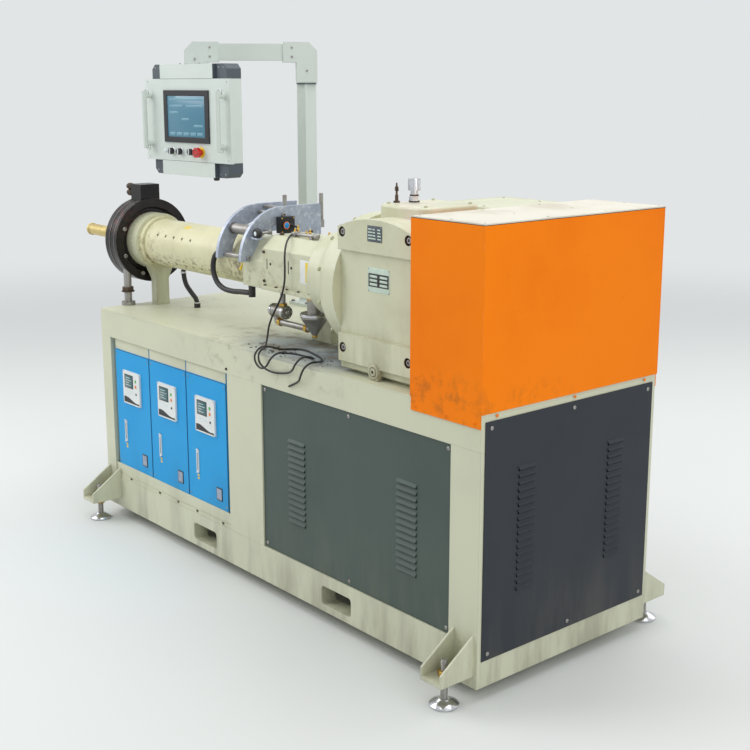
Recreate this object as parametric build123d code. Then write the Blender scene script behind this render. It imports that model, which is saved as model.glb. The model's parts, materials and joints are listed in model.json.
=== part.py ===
"""Cold-feed rubber extruder on its welded base: a screw barrel with a feed throat, a gearbox and belt
cover on a deck, three temperature-control units in the base and an operator panel on a swivelling arm.

Millimetres, +Z up, +X towards the drive end, +Y away from the operator. The sub-parts are laid out from
the base's front left corner at floor level, and every sub-part is then moved by the same amount, so that
the model's origin is the middle of the assembly's footprint on the floor.
"""
import math
import os

from build123d import *

# Base frame
BASE_LENGTH = 2230.0
BASE_DEPTH = 790.0
BASE_UNDERSIDE = 45.0
DECK_HEIGHT = 886.0
DECK_THICKNESS = 8.0
FRAME_TUBE = 60.0
PANEL_SHEET = 3.0
PANEL_RECESS = 6.0
TOP_RAIL_HEIGHT = 104.0
LEFT_POST_WIDTH = 72.0
RIGHT_POST_WIDTH = 122.0
UNIT_BAY_WIDTH = 866.0
MIDDLE_POST_WIDTH = 214.0
BOTTOM_RAIL_HEIGHT = 132.0
END_RAIL_HEIGHT = 85.0
FLOOR_PAN_THICKNESS = 6.0

# Fork pockets in the bottom rails
FORK_HOLE_WIDTH = 158.0
FORK_HOLE_HEIGHT = 66.0
FORK_HOLE_RADIUS = 14.0
FORK_HOLE_BOTTOM = 70.0
FORK_HOLE_CENTRES = (760.0, 1565.0)

# Levelling feet on their brackets
BRACKET_WIDTH = 90.0
BRACKET_REACH = 130.0
BRACKET_STUD_REACH = 75.0
BRACKET_END_MARGIN = 14.0
BRACKET_PLATE = 12.0
BRACKET_GUSSET = 8.0
BRACKET_PLATE_UNDERSIDE = 84.0
BRACKET_GUSSET_TOP = 212.0
BRACKET_GUSSET_TIP = 124.0
FOOT_RADIUS = 45.0
FOOT_HEIGHT = 24.0
FOOT_CROWN_RADIUS = 18.0
FOOT_STUD_RADIUS = 11.0
FOOT_NUT_HEIGHT = 16.0
FOOT_NUT_WIDTH = 36.0
FOOT_STUD_TOP = 148.0

# Louvred panels
LOUVRE_WIDTH = 92.0
LOUVRE_SLOT = 8.0
LOUVRE_HOOD = 7.0
LOUVRE_LIP = 4.0
LOUVRE_HOOD_HEIGHT = 9.0
LOUVRE_PITCH = 22.0
LOUVRE_COUNT = 14
LOUVRE_INSET = 197.0
END_LOUVRE_WIDTH = 74.0
END_LOUVRE_COUNT = 18
LOUVRE_DROP = 18.5
END_LOUVRE_RISE = 11.0
END_LOUVRE_SPREAD = 405.0
END_PANEL_TOP_MARGIN = 16.0
END_PANEL_MARGIN = 16.0

# Temperature-control units
UNIT_COUNT = 3
UNIT_GAP = 4.0
UNIT_DEPTH = 560.0
UNIT_TOP_CLEARANCE = 2.0
UNIT_HEADER = 44.0
TRAY_HEIGHT = 59.0
TRAY_LIP = 15.0
TRAY_STEP = 3.0
UNIT_RECESS = 8.0
UNIT_DOOR_SHEET = 2.0
BAY_SIDE_CLEARANCE = 22.0
CONTROL_PLATE_WIDTH = 132.0
CONTROL_PLATE_HEIGHT = 138.0
CONTROL_PLATE_DROP = 76.0
CONTROL_PLATE_THICKNESS = 8.0
GAUGE_LENGTH = 90.0
GAUGE_RADIUS = 7.0
GAUGE_DROP = 292.0
GAUGE_OFFSET = 8.0

# Extruder centre line
AXIS_ABOVE_DECK = 266.0
AXIS_DEPTH = 250.0

# Gearbox
GEARBOX_LEFT = 1537.0
GEARBOX_LENGTH = 358.0
GEARBOX_DEPTH = 420.0
GEARBOX_SHOULDER = 205.0
GEARBOX_CROWN = 238.0
GEARBOX_COVER_THICKNESS = 26.0
GEARBOX_BAND_THICKNESS = 12.0
GEARBOX_LOWER_BAND_RISE = 36.0
GEARBOX_LOWER_BAND_HEIGHT = 92.0
GEARBOX_UPPER_BAND_RISE = 132.0
GEARBOX_FOOT_HEIGHT = 14.0
GEARBOX_FOOT_INSET = 18.0
RECESS_RADIUS = 16.0
RECESS_INSET = 22.0
RECESS_LOW_DROP = 46.0
RECESS_HIGH_DROP = 16.0
HUMP_LENGTH = 230.0
HUMP_DEPTH = 250.0
HUMP_HEIGHT = 36.0
HUMP_SETBACK = 20.0
HUMP_CORNER = 40.0
HUMP_EDGE = 10.0
DRAIN_PLUG_RADIUS = 26.0
DRAIN_PLUG_PROUD = 4.0
DRAIN_LUG_WIDTH = 44.0
BREATHER_RADIUS = 17.0
BREATHER_HEIGHT = 78.0
BREATHER_OFFSET = 50.0
BREATHER_NUT_HEIGHT = 22.0
BREATHER_NECK_HEIGHT = 18.0
BREATHER_NECK_RADIUS = 12.0
BREATHER_CAP_RADIUS = 19.5

# Drum flange between the gearbox and the feed section
DRUM_RADIUS = 232.0
DRUM_LENGTH = 100.0
DRUM_STEP = 12.0
DRUM_NECK_RADIUS = 150.0
DRUM_NECK_LENGTH = 147.0
DRUM_BELL_START = 36.0
DRUM_BELL_WAIST = (0.62, 0.3)
DRUM_RIM_LENGTHS = (14.0, 40.0)

# Feed section
FEED_LENGTH = 297.0
FEED_DEPTH = 240.0
FEED_DROP = 74.0
FEED_SHOULDER_RISE = 71.0
FEED_RISE = 116.0
FEED_CHAMFER = 52.0
FEED_LIP = 10.0
FEED_LIP_HEIGHT = 14.0
THROAT_LENGTH = 127.0
THROAT_SHOULDER_RISE = 21.0
THROAT_RISE = 98.0
SUPPORT_FOOT_LENGTH = 110.0
SUPPORT_FOOT_DEPTH = 90.0
THROAT_POCKET_LENGTH = 70.0
THROAT_POCKET_WIDTH = 90.0
THROAT_POCKET_DEPTH = 60.0

# Feed cheeks and guide roller
CHEEK_THICKNESS = 16.0
CHEEK_SPACING = 150.0
CHEEK_LAP = 32.0
CHEEK_OUTER_RADIUS = 190.0
CHEEK_INNER_RADIUS = 128.0
CHEEK_CENTRE_SETBACK = 30.0
CHEEK_CENTRE_RISE = 16.0
CHEEK_BACK_REACH = 206.0
CHEEK_LEG_WIDTH = 62.0
CHEEK_FOOT_DROP = 139.0
CHEEK_WEB_LENGTH = 64.0
CHEEK_WEB_DROP = 46.0
ROLLER_RADIUS = 20.0
ROLLER_RING_ANGLE = 42.0
ROLLER_SHAFT_RADIUS = 8.0
ROLLER_SHAFT_END = 8.0
ROLLER_END_GAP = 6.0
ROLLER_BORE_CLEARANCE = 0.05
TIE_ROD_RADIUS = 9.0
TIE_ROD_RISE = 14.0
GUARD_ROD_RADIUS = 8.0
GUARD_ROD_RISE = 244.0
GUARD_ROD_LUG = 16.0
GUARD_ROD_LUG_HEIGHT = 28.0
SWITCH_WIDTH = 62.0
SWITCH_HEIGHT = 60.0
SWITCH_DEPTH = 30.0
SWITCH_RISE = 110.0
SWITCH_BUTTON_RADIUS = 13.0
SWITCH_BUTTON_HEIGHT = 8.0
SWITCH_BUTTON_OFFSET = 12.0

# Barrel and head
BARREL_RADIUS = 97.0
BARREL_FLANGE_LEFT = -10.0
BARREL_FLANGE_LENGTH = 95.0
BARREL_FLANGE_RADIUS = 118.0
BARREL_LEG_WIDTH = 60.0
BARREL_LEG_THICKNESS = 42.0
BARREL_LEG_FLARE = 40.0
BARREL_COLLAR_RADIUS = 106.0
BARREL_COLLAR_LENGTH = 28.0
PLUG_HOLE_RADIUS = 5.0
PLUG_HOLE_PITCH = 62.0
PLUG_HOLE_START = 120.0
PLUG_HOLE_DEPTH = 8.0
PLUG_HOLE_ANGLES = (28.0, -40.0)
PLUG_HOLE_COUNTS = (5, 7)
RING_RADIUS = 175.0
RING_LENGTH = 100.0
RING_LEFT = -82.0
RING_RIM = 34.0
HEAD_RADIUS = 92.0
HEAD_LENGTH = 170.0
HEAD_CONE_LENGTH = 130.0
NOZZLE_RADIUS = 25.0
NOZZLE_SHOULDER = 14.0
NOZZLE_BORE_RADIUS = 15.0
NOZZLE_LENGTH = 220.0
NOZZLE_BORE_DEPTH = 120.0
RING_GROOVE = 5.0
RING_CHAMFER = 8.0
RING_DISH = 14.0
CLAMP_BLOCK_SEAT = 15.0
CLAMP_BLOCK_WIDTH = 90.0
CLAMP_BLOCK_LENGTH = 80.0
CLAMP_BLOCK_INSET = 10.0
CLAMP_BLOCK_HEIGHT = 74.0
CLAMP_BOLT_RADIUS = 11.0
CLAMP_BOLT_REACH = 60.0
CLAMP_BOLT_RISES = (34.0, 60.0)
JACK_RADIUS = 16.0
JACK_SETBACK = 120.0
JACK_BASE_HEIGHT = 14.0
JACK_BASE_RADIUS = 29.0

# Belt and motor cover
COVER_LEFT = 1933.0
COVER_HEIGHT = 534.0
COVER_OVERLAP = 42.0
COVER_SHEET = 4.0
MOTOR_HOUSING_LENGTH = 390.0
MOTOR_HOUSING_DROP = 14.0
GUARD_SETBACK = 30.0

# Operator panel, arm and post
POST_X = 486.0
POST_SETBACK = 70.0
TUBE_SIZE = 56.0
TUBE_HEIGHT = 66.0
POST_DROP = 120.0
ARM_LENGTH = 448.0
ARM_ANGLE = 236.5
ARM_RISE = 47.0
ELBOW_HALF_WIDTH = 42.0
ELBOW_REACH = 95.0
ELBOW_WALL = 7.0
ELBOW_CHAMFER = 34.0
POST_FLANGE_SIZE = 120.0
POST_FLANGE_THICKNESS = 12.0
PANEL_ANGLE = 5.0
PANEL_WIDTH = 560.0
PANEL_HEIGHT = 328.0
PANEL_BOX_WIDTH = 490.0
PANEL_BOX_DEPTH = 72.0
PANEL_FRAME_THICKNESS = 14.0
PANEL_ABOVE_DECK = 604.0
PANEL_CAP_WIDTH = 350.0
PANEL_CAP_HEIGHT = 58.0
PANEL_CAP_RECESS = 14.0
PANEL_SETBACK = 50.0
BEZEL_WIDTH = 296.0
BEZEL_HEIGHT = 208.0
BEZEL_THICKNESS = 6.0
SCREEN_MARGIN_X = 24.0
SCREEN_MARGIN_Z = 20.0
SCREEN_SINK = 2.0
SCREEN_RISE = 15.0
GRIP_RADIUS = 11.0
GRIP_STANDOFF = 34.0
GRIP_LENGTH = 235.0
GRIP_POST_SPREAD = 195.0
GRIP_SPREAD = 486.0
CONTROL_DROP = 125.0
CONTROL_RADIUS = 13.0
CONTROL_HEIGHT = 18.0
CONTROL_PLACES = (-100.0, -44.0, 29.0)
STOP_PLACE = 90.0
STOP_RADIUS = 20.0
STOP_HEIGHT = 30.0
STOP_COLLAR_RADIUS = 12.0
SWIVEL_GAP = 0.3

# Hoses, the sensor's cable and the fittings under the feed section
HOSE_RADIUS = 10.0
HOSE_BOSS_RADIUS = 13.0
CABLE_RADIUS = 3.5
BEND_SHARE = 0.45
FITTING_FORWARD = 50.0
TRAP_OFFSET = 210.0
TRAP_RADIUS = 50.0
TRAP_NECK_RADIUS = 26.0
TRAP_TIP_RADIUS = 9.0
TRAP_TOP_RISE = 124.0
TRAP_TIP_RISE = 44.0
FILTER_OVERHANG = 40.0
FILTER_LENGTH = 87.0
FILTER_RADIUS = 24.0
FILTER_RISE = 102.0
DRAIN_PIPE_RADIUS = 11.0
DRAIN_PIPE_RISE = 62.0
RISER_RADIUS = 10.0

# Heights and depths that follow from the driving sizes
AXIS_HEIGHT = DECK_HEIGHT + AXIS_ABOVE_DECK
FEED_BOTTOM = AXIS_HEIGHT - FEED_DROP
FEED_SHOULDER = AXIS_HEIGHT + FEED_SHOULDER_RISE
FEED_TOP = AXIS_HEIGHT + FEED_RISE
THROAT_SHOULDER = AXIS_HEIGHT + THROAT_SHOULDER_RISE
THROAT_TOP = AXIS_HEIGHT + THROAT_RISE
CHEEK_CENTRE_DEPTH = AXIS_DEPTH + CHEEK_CENTRE_SETBACK
CHEEK_CENTRE_HEIGHT = AXIS_HEIGHT + CHEEK_CENTRE_RISE
CHEEK_BACK_DEPTH = AXIS_DEPTH + CHEEK_BACK_REACH
COVER_TOP = DECK_HEIGHT + COVER_HEIGHT
POST_DEPTH = BASE_DEPTH - POST_SETBACK
PANEL_BOTTOM = DECK_HEIGHT + PANEL_ABOVE_DECK
ARM_MIDDLE_HEIGHT = PANEL_BOTTOM + PANEL_HEIGHT + PANEL_CAP_HEIGHT + ARM_RISE
POST_TOP = ARM_MIDDLE_HEIGHT - POST_DROP
ELBOW_TOP = ARM_MIDDLE_HEIGHT + TUBE_HEIGHT / 2 + ELBOW_WALL


def block(x0, x1, y0, y1, z0, z1):
    """A box between two corners."""
    return Pos((x0 + x1) / 2, (y0 + y1) / 2, (z0 + z1) / 2) * Box(x1 - x0, y1 - y0, z1 - z0)


def rod_x(x0, x1, y, z, radius):
    """A round bar along X."""
    return Pos((x0 + x1) / 2, y, z) * Rot(0, 90, 0) * Cylinder(radius, x1 - x0)


def rod_y(y0, y1, x, z, radius):
    """A round bar along Y."""
    return Pos(x, (y0 + y1) / 2, z) * Rot(90, 0, 0) * Cylinder(radius, y1 - y0)


def rod_z(z0, z1, x, y, radius):
    """A round bar along Z."""
    return Pos(x, y, (z0 + z1) / 2) * Cylinder(radius, z1 - z0)


def slab_yz(outline, x0, x1):
    """Extrude a closed face drawn in (depth, height) along X, from x0 to x1."""
    plane = Plane(origin=(x0, 0, 0), x_dir=(0, 1, 0), z_dir=(1, 0, 0))
    return extrude(plane * outline, amount=x1 - x0)


def slab_xz(outline, y0, y1):
    """Extrude a closed face drawn in (length, height) along Y, from y0 to y1."""
    plane = Plane(origin=(0, y1, 0), x_dir=(1, 0, 0), z_dir=(0, -1, 0))
    return extrude(plane * outline, amount=y1 - y0)


def turned(profile, y=AXIS_DEPTH, z=AXIS_HEIGHT):
    """Revolve a closed (x, radius) outline about the extruder's centre line."""
    face = make_face(Polyline(*profile, close=True))
    return Pos(0, y, z) * revolve(Plane.XZ * face, Axis.X, 360)


# Places that several pieces share
bay_left = LEFT_POST_WIDTH
bay_right = bay_left + UNIT_BAY_WIDTH
panel_left = bay_right + MIDDLE_POST_WIDTH
panel_right = BASE_LENGTH - RIGHT_POST_WIDTH
rail_bottom = DECK_HEIGHT - DECK_THICKNESS - TOP_RAIL_HEIGHT
sill_top = BASE_UNDERSIDE + BOTTOM_RAIL_HEIGHT
deck_underside = DECK_HEIGHT - DECK_THICKNESS
unit_top = rail_bottom - UNIT_TOP_CLEARANCE
door_top = unit_top - UNIT_HEADER
door_bottom = sill_top + TRAY_HEIGHT
panel_bottom_edge = BASE_UNDERSIDE + END_RAIL_HEIGHT
end_panel_top = deck_underside - END_PANEL_TOP_MARGIN
louvre_middle = (sill_top + rail_bottom) / 2 - LOUVRE_DROP
end_louvre_middle = (panel_bottom_edge + end_panel_top) / 2 + END_LOUVRE_RISE
inner_left = FRAME_TUBE
inner_right = BASE_LENGTH - FRAME_TUBE
inner_back = BASE_DEPTH - FRAME_TUBE


def fork_cutter(y0, y1):
    """The two rounded fork pockets, as solids to cut from a rail."""
    cutters = []
    for centre in FORK_HOLE_CENTRES:
        middle = FORK_HOLE_BOTTOM + FORK_HOLE_HEIGHT / 2
        hole = Pos(centre, middle) * RectangleRounded(FORK_HOLE_WIDTH, FORK_HOLE_HEIGHT, FORK_HOLE_RADIUS)
        cutters.append(slab_xz(hole, y0 - 1, y1 + 1))
    return cutters


def bottom_rail(y0, y1):
    """A full-length bottom rail with both fork pockets."""
    rail = block(0, BASE_LENGTH, y0, y1, BASE_UNDERSIDE, sill_top)
    for cutter in fork_cutter(y0, y1):
        rail -= cutter
    return rail


def posts(y0, y1):
    """Left, middle and right posts of one long side."""
    spans = ((0, bay_left), (bay_right, panel_left), (panel_right, BASE_LENGTH))
    return [block(x0, x1, y0, y1, sill_top, rail_bottom) for x0, x1 in spans]


def end_rails(x0, x1):
    """Top and bottom rails of one end, between the long sides."""
    top = block(x0, x1, FRAME_TUBE, inner_back, rail_bottom, deck_underside)
    bottom = block(x0, x1, FRAME_TUBE, inner_back, BASE_UNDERSIDE, BASE_UNDERSIDE + END_RAIL_HEIGHT)
    return [top, bottom]


def louvre_rows(count, pitch, middle):
    """Heights of a column's slots, evenly pitched about its middle."""
    first = middle - pitch * (count - 1) / 2
    return [first + pitch * row for row in range(count)]


def louvre_hood(x0, x1, slot_top):
    """One pressed hood, leaning out over its slot from a sheet whose front is at depth 0."""
    lip = slot_top - LOUVRE_LIP
    outline = make_face(Polyline((1, slot_top), (1 - LOUVRE_HOOD, lip), (-LOUVRE_HOOD, lip + 1),
                                 (-LOUVRE_HOOD / 3, slot_top + LOUVRE_LIP),
                                 (1, slot_top + LOUVRE_HOOD_HEIGHT), close=True))
    return slab_yz(outline, x0, x1)


def louvred_sheet(x0, x1, z0, z1, columns, rows, width):
    """A sheet in the XZ plane, front at depth 0, with louvre columns pressed out of it."""
    slots = []
    hoods = []
    for column in columns:
        left = column - width / 2
        right = column + width / 2
        for row in rows:
            slot_top = row + LOUVRE_SLOT / 2
            slots.append(block(left, right, -1, PANEL_SHEET + 1, row - LOUVRE_SLOT / 2, slot_top))
            hoods.append(louvre_hood(left, right, slot_top))
    return block(x0, x1, 0, PANEL_SHEET, z0, z1) - slots + hoods


def front_panel():
    """Grey louvred panel in the front's right bay, set a little into the frame."""
    rows = louvre_rows(LOUVRE_COUNT, LOUVRE_PITCH, louvre_middle)
    columns = (panel_left + LOUVRE_INSET, panel_right - LOUVRE_INSET)
    sheet = louvred_sheet(panel_left, panel_right, sill_top, rail_bottom, columns, rows, LOUVRE_WIDTH)
    return Pos(0, PANEL_RECESS, 0) * sheet


def back_panels():
    """The back's two louvred panels, one over each bay."""
    rows = louvre_rows(LOUVRE_COUNT, LOUVRE_PITCH, louvre_middle)
    sheets = []
    for x0, x1 in ((bay_left, bay_right), (panel_left, panel_right)):
        columns = (x0 + LOUVRE_INSET, x1 - LOUVRE_INSET)
        sheet = louvred_sheet(x0, x1, sill_top, rail_bottom, columns, rows, LOUVRE_WIDTH)
        sheets.append(Pos(x0 + x1, BASE_DEPTH - PANEL_RECESS, 0) * Rot(0, 0, 180) * sheet)
    return sheets


def end_panel():
    """Dark louvred panel screwed over the drive end of the base."""
    rows = louvre_rows(END_LOUVRE_COUNT, LOUVRE_PITCH, end_louvre_middle)
    middle = BASE_DEPTH / 2
    columns = (-END_LOUVRE_SPREAD / 2, END_LOUVRE_SPREAD / 2)
    half = middle - END_PANEL_MARGIN
    sheet = louvred_sheet(-half, half, panel_bottom_edge, end_panel_top, columns, rows, END_LOUVRE_WIDTH)
    return Pos(BASE_LENGTH + PANEL_SHEET, middle, 0) * Rot(0, 0, 90) * sheet


def foot_bracket(x0, side):
    """A welded bracket: a base plate under two sloped gussets. side is -1 at the front, 1 at the back."""
    wall = 0.0 if side < 0 else BASE_DEPTH
    tip = wall + side * BRACKET_REACH
    plate_top = BRACKET_PLATE_UNDERSIDE + BRACKET_PLATE
    y0, y1 = sorted((wall, tip))
    bracket = block(x0, x0 + BRACKET_WIDTH, y0, y1, BRACKET_PLATE_UNDERSIDE, plate_top)
    outline = make_face(Polyline((wall, plate_top), (tip, plate_top), (tip, BRACKET_GUSSET_TIP),
                                 (wall, BRACKET_GUSSET_TOP), close=True))
    for left in (x0, x0 + BRACKET_WIDTH - BRACKET_GUSSET):
        bracket += slab_yz(outline, left, left + BRACKET_GUSSET)
    hole_y = wall + side * BRACKET_STUD_REACH
    bracket -= rod_z(BRACKET_PLATE_UNDERSIDE - 1, plate_top + 1, x0 + BRACKET_WIDTH / 2, hole_y,
                     FOOT_STUD_RADIUS)
    return bracket


def levelling_foot(x, y):
    """A domed pad with its threaded stud and the two nuts that lock it to the bracket."""
    rim = FOOT_HEIGHT / 3
    dome = make_face(Polyline((0, 0), (FOOT_RADIUS, 0), (FOOT_RADIUS, rim),
                              (FOOT_CROWN_RADIUS, FOOT_HEIGHT), (0, FOOT_HEIGHT), close=True))
    foot = Pos(x, y, 0) * revolve(Plane.XZ * dome, Axis.Z, 360)
    foot += rod_z(FOOT_HEIGHT / 2, FOOT_STUD_TOP, x, y, FOOT_STUD_RADIUS)
    plate_top = BRACKET_PLATE_UNDERSIDE + BRACKET_PLATE
    for bottom in (BRACKET_PLATE_UNDERSIDE - FOOT_NUT_HEIGHT, plate_top):
        nut = extrude(RegularPolygon(FOOT_NUT_WIDTH / 2, 6, major_radius=False), FOOT_NUT_HEIGHT)
        foot += Pos(x, y, bottom) * nut
    return foot


def bracket_places():
    """Left edge and side of each of the four brackets."""
    left = BRACKET_END_MARGIN
    right = BASE_LENGTH - BRACKET_END_MARGIN - BRACKET_WIDTH
    return [(x0, side) for x0 in (left, right) for side in (-1, 1)]


def foot_places():
    """Centre of each levelling foot."""
    places = []
    for x0, side in bracket_places():
        wall = 0.0 if side < 0 else BASE_DEPTH
        places.append((x0 + BRACKET_WIDTH / 2, wall + side * BRACKET_STUD_REACH))
    return places


unit_span = (UNIT_BAY_WIDTH - 2 * BAY_SIDE_CLEARANCE - (UNIT_COUNT - 1) * UNIT_GAP) / UNIT_COUNT


def unit_left(index):
    """Left side of one temperature-control unit."""
    return bay_left + BAY_SIDE_CLEARANCE + index * (unit_span + UNIT_GAP)


def temperature_unit(index):
    """One closed cabinet with its door standing a little proud of the casing."""
    x0 = unit_left(index)
    x1 = x0 + unit_span
    door_front = UNIT_RECESS
    casing_front = door_front + UNIT_DOOR_SHEET
    casing = block(x0, x1, casing_front, UNIT_RECESS + UNIT_DEPTH, sill_top, unit_top)
    casing += block(x0 + 1, x1 - 1, door_front, casing_front, door_bottom, door_top)
    return casing


def control_plate_left(index):
    """Left edge of a unit's controller plate."""
    return unit_left(index) + unit_span / 2 - CONTROL_PLATE_WIDTH / 2


def control_plate(index):
    """The white controller plate on a unit's door."""
    x0 = control_plate_left(index)
    top = door_top - CONTROL_PLATE_DROP
    front = UNIT_RECESS - CONTROL_PLATE_THICKNESS
    plate = block(x0, x0 + CONTROL_PLATE_WIDTH, front, UNIT_RECESS, top - CONTROL_PLATE_HEIGHT, top)
    return fillet(plate.edges().filter_by(Axis.Y), CONTROL_PLATE_THICKNESS / 2)


def sight_gauge(index):
    """The half-round level gauge on a unit's door."""
    x = control_plate_left(index) - GAUGE_OFFSET + GAUGE_RADIUS
    top = door_top - GAUGE_DROP
    gauge = rod_z(top - GAUGE_LENGTH, top, x, UNIT_RECESS, GAUGE_RADIUS)
    back = block(x - GAUGE_RADIUS, x + GAUGE_RADIUS, UNIT_RECESS, UNIT_RECESS + GAUGE_RADIUS,
                 top - GAUGE_LENGTH, top)
    return gauge - back


gearbox_front = AXIS_DEPTH - GEARBOX_DEPTH / 2
gearbox_back = AXIS_DEPTH + GEARBOX_DEPTH / 2
gearbox_right = GEARBOX_LEFT + GEARBOX_LENGTH
gearbox_middle = (GEARBOX_LEFT + gearbox_right) / 2
shoulder = AXIS_HEIGHT + GEARBOX_SHOULDER
crown = AXIS_HEIGHT + GEARBOX_CROWN


def arch_outline(x0, x1, z0):
    """The gearbox's front outline: straight sides under a flat arch."""
    middle = (x0 + x1) / 2
    sides = Polyline((x1, shoulder), (x1, z0), (x0, z0), (x0, shoulder))
    arch = ThreePointArc((x0, shoulder), (middle, crown), (x1, shoulder))
    return make_face([sides.edges(), arch])


def gearbox_body():
    """The gearbox casting: a foot, the arched case and the raised inspection housing on top."""
    cover = GEARBOX_COVER_THICKNESS + GEARBOX_BAND_THICKNESS
    foot_top = DECK_HEIGHT + GEARBOX_FOOT_HEIGHT
    body = slab_xz(arch_outline(GEARBOX_LEFT, gearbox_right, foot_top), gearbox_front + cover, gearbox_back)
    body += block(GEARBOX_LEFT + GEARBOX_FOOT_INSET, gearbox_right, gearbox_front + cover, gearbox_back,
                  DECK_HEIGHT, foot_top)
    hump_y = AXIS_DEPTH + HUMP_SETBACK
    hump = block(gearbox_middle - HUMP_LENGTH / 2, gearbox_middle + HUMP_LENGTH / 2,
                 hump_y - HUMP_DEPTH / 2, hump_y + HUMP_DEPTH / 2, shoulder, crown + HUMP_HEIGHT)
    hump = fillet(hump.edges().filter_by(Axis.Z), HUMP_CORNER)
    hump = fillet(hump.faces().sort_by(Axis.Z)[-1].edges(), HUMP_EDGE)
    body += hump
    return body


def gearbox_cover():
    """The bolted front cover with its raised bands and four bolt recesses."""
    front = gearbox_front
    back = gearbox_front + GEARBOX_COVER_THICKNESS + GEARBOX_BAND_THICKNESS
    inner = gearbox_front + GEARBOX_BAND_THICKNESS
    z0 = DECK_HEIGHT + GEARBOX_FOOT_HEIGHT
    cover = slab_xz(arch_outline(GEARBOX_LEFT, gearbox_right, z0), inner, back)
    upper_bottom = AXIS_HEIGHT + GEARBOX_UPPER_BAND_RISE
    upper = slab_xz(arch_outline(GEARBOX_LEFT, gearbox_right, upper_bottom), front, inner)
    band_bottom = DECK_HEIGHT + GEARBOX_LOWER_BAND_RISE
    band_top = band_bottom + GEARBOX_LOWER_BAND_HEIGHT
    lower = block(GEARBOX_LEFT, gearbox_right, front, inner, band_bottom, band_top)
    cover = cover + upper + lower
    for x in (GEARBOX_LEFT + RECESS_INSET, gearbox_right - RECESS_INSET):
        for z in (band_top - RECESS_LOW_DROP, shoulder - RECESS_HIGH_DROP):
            cover -= rod_y(front - 1, inner, x, z, RECESS_RADIUS)
    plug_z = z0 + DRAIN_PLUG_RADIUS / 2
    lug = DRAIN_LUG_WIDTH / 2
    cover += rod_y(front - DRAIN_PLUG_PROUD, inner, gearbox_middle, plug_z, DRAIN_PLUG_RADIUS)
    cover += block(gearbox_middle - lug, gearbox_middle + lug, front - DRAIN_PLUG_PROUD, inner,
                   DECK_HEIGHT + 1, plug_z)
    return cover


drum_left = GEARBOX_LEFT - DRUM_LENGTH
neck_left = drum_left - DRUM_NECK_LENGTH
feed_right = neck_left
feed_left = feed_right - FEED_LENGTH
throat_left = feed_left - THROAT_LENGTH


def drum_flange():
    """The stepped round flange that joins the feed section to the gearbox."""
    inner = DRUM_RADIUS - 2 * DRUM_STEP
    middle = DRUM_RADIUS - DRUM_STEP
    first = drum_left + DRUM_RIM_LENGTHS[0]
    second = drum_left + DRUM_RIM_LENGTHS[1]
    bell_left = neck_left + DRUM_BELL_START
    along, out = DRUM_BELL_WAIST
    bell_middle = (bell_left + (drum_left - bell_left) * along,
                   DRUM_NECK_RADIUS + (inner - DRUM_NECK_RADIUS) * out)
    bell = ThreePointArc((bell_left, DRUM_NECK_RADIUS), bell_middle, (drum_left, inner))
    rest = Polyline((drum_left, inner), (first, inner), (first, middle), (second, middle),
                    (second, DRUM_RADIUS), (GEARBOX_LEFT, DRUM_RADIUS), (GEARBOX_LEFT, 0), (neck_left, 0),
                    (neck_left, DRUM_NECK_RADIUS), (bell_left, DRUM_NECK_RADIUS))
    face = make_face([bell] + list(rest.edges()))
    return Pos(0, AXIS_DEPTH, AXIS_HEIGHT) * revolve(Plane.XZ * face, Axis.X, 360)


def cast_box(x0, x1, bottom, shoulder_height, top):
    """A cast box about the centre line with chamfered upper edges."""
    near = AXIS_DEPTH - FEED_DEPTH / 2
    far = AXIS_DEPTH + FEED_DEPTH / 2
    outline = make_face(Polyline((near, bottom), (far, bottom), (far, shoulder_height),
                                 (far - FEED_CHAMFER, top), (near + FEED_CHAMFER, top),
                                 (near, shoulder_height), close=True))
    return slab_yz(outline, x0, x1)


def feed_section():
    """The water-cooled feed casting with a lower throat block in front of it and a foot on the deck."""
    body = cast_box(feed_left, feed_right, FEED_BOTTOM, FEED_SHOULDER, FEED_TOP)
    body += cast_box(throat_left, feed_left, FEED_BOTTOM, THROAT_SHOULDER, THROAT_TOP)
    lip = FEED_DEPTH / 2 + FEED_LIP
    body += block(feed_left, feed_right, AXIS_DEPTH - lip, AXIS_DEPTH + lip, FEED_BOTTOM,
                  FEED_BOTTOM + FEED_LIP_HEIGHT)
    middle = feed_left + FEED_LENGTH / 2
    far = AXIS_DEPTH + FEED_DEPTH / 2
    foot = SUPPORT_FOOT_LENGTH / 2
    body += block(middle - foot, middle + foot, far - SUPPORT_FOOT_DEPTH, far, DECK_HEIGHT, FEED_BOTTOM)
    return body


cheek_right = throat_left + CHEEK_LAP
cheek_left = cheek_right - CHEEK_SPACING


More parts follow.
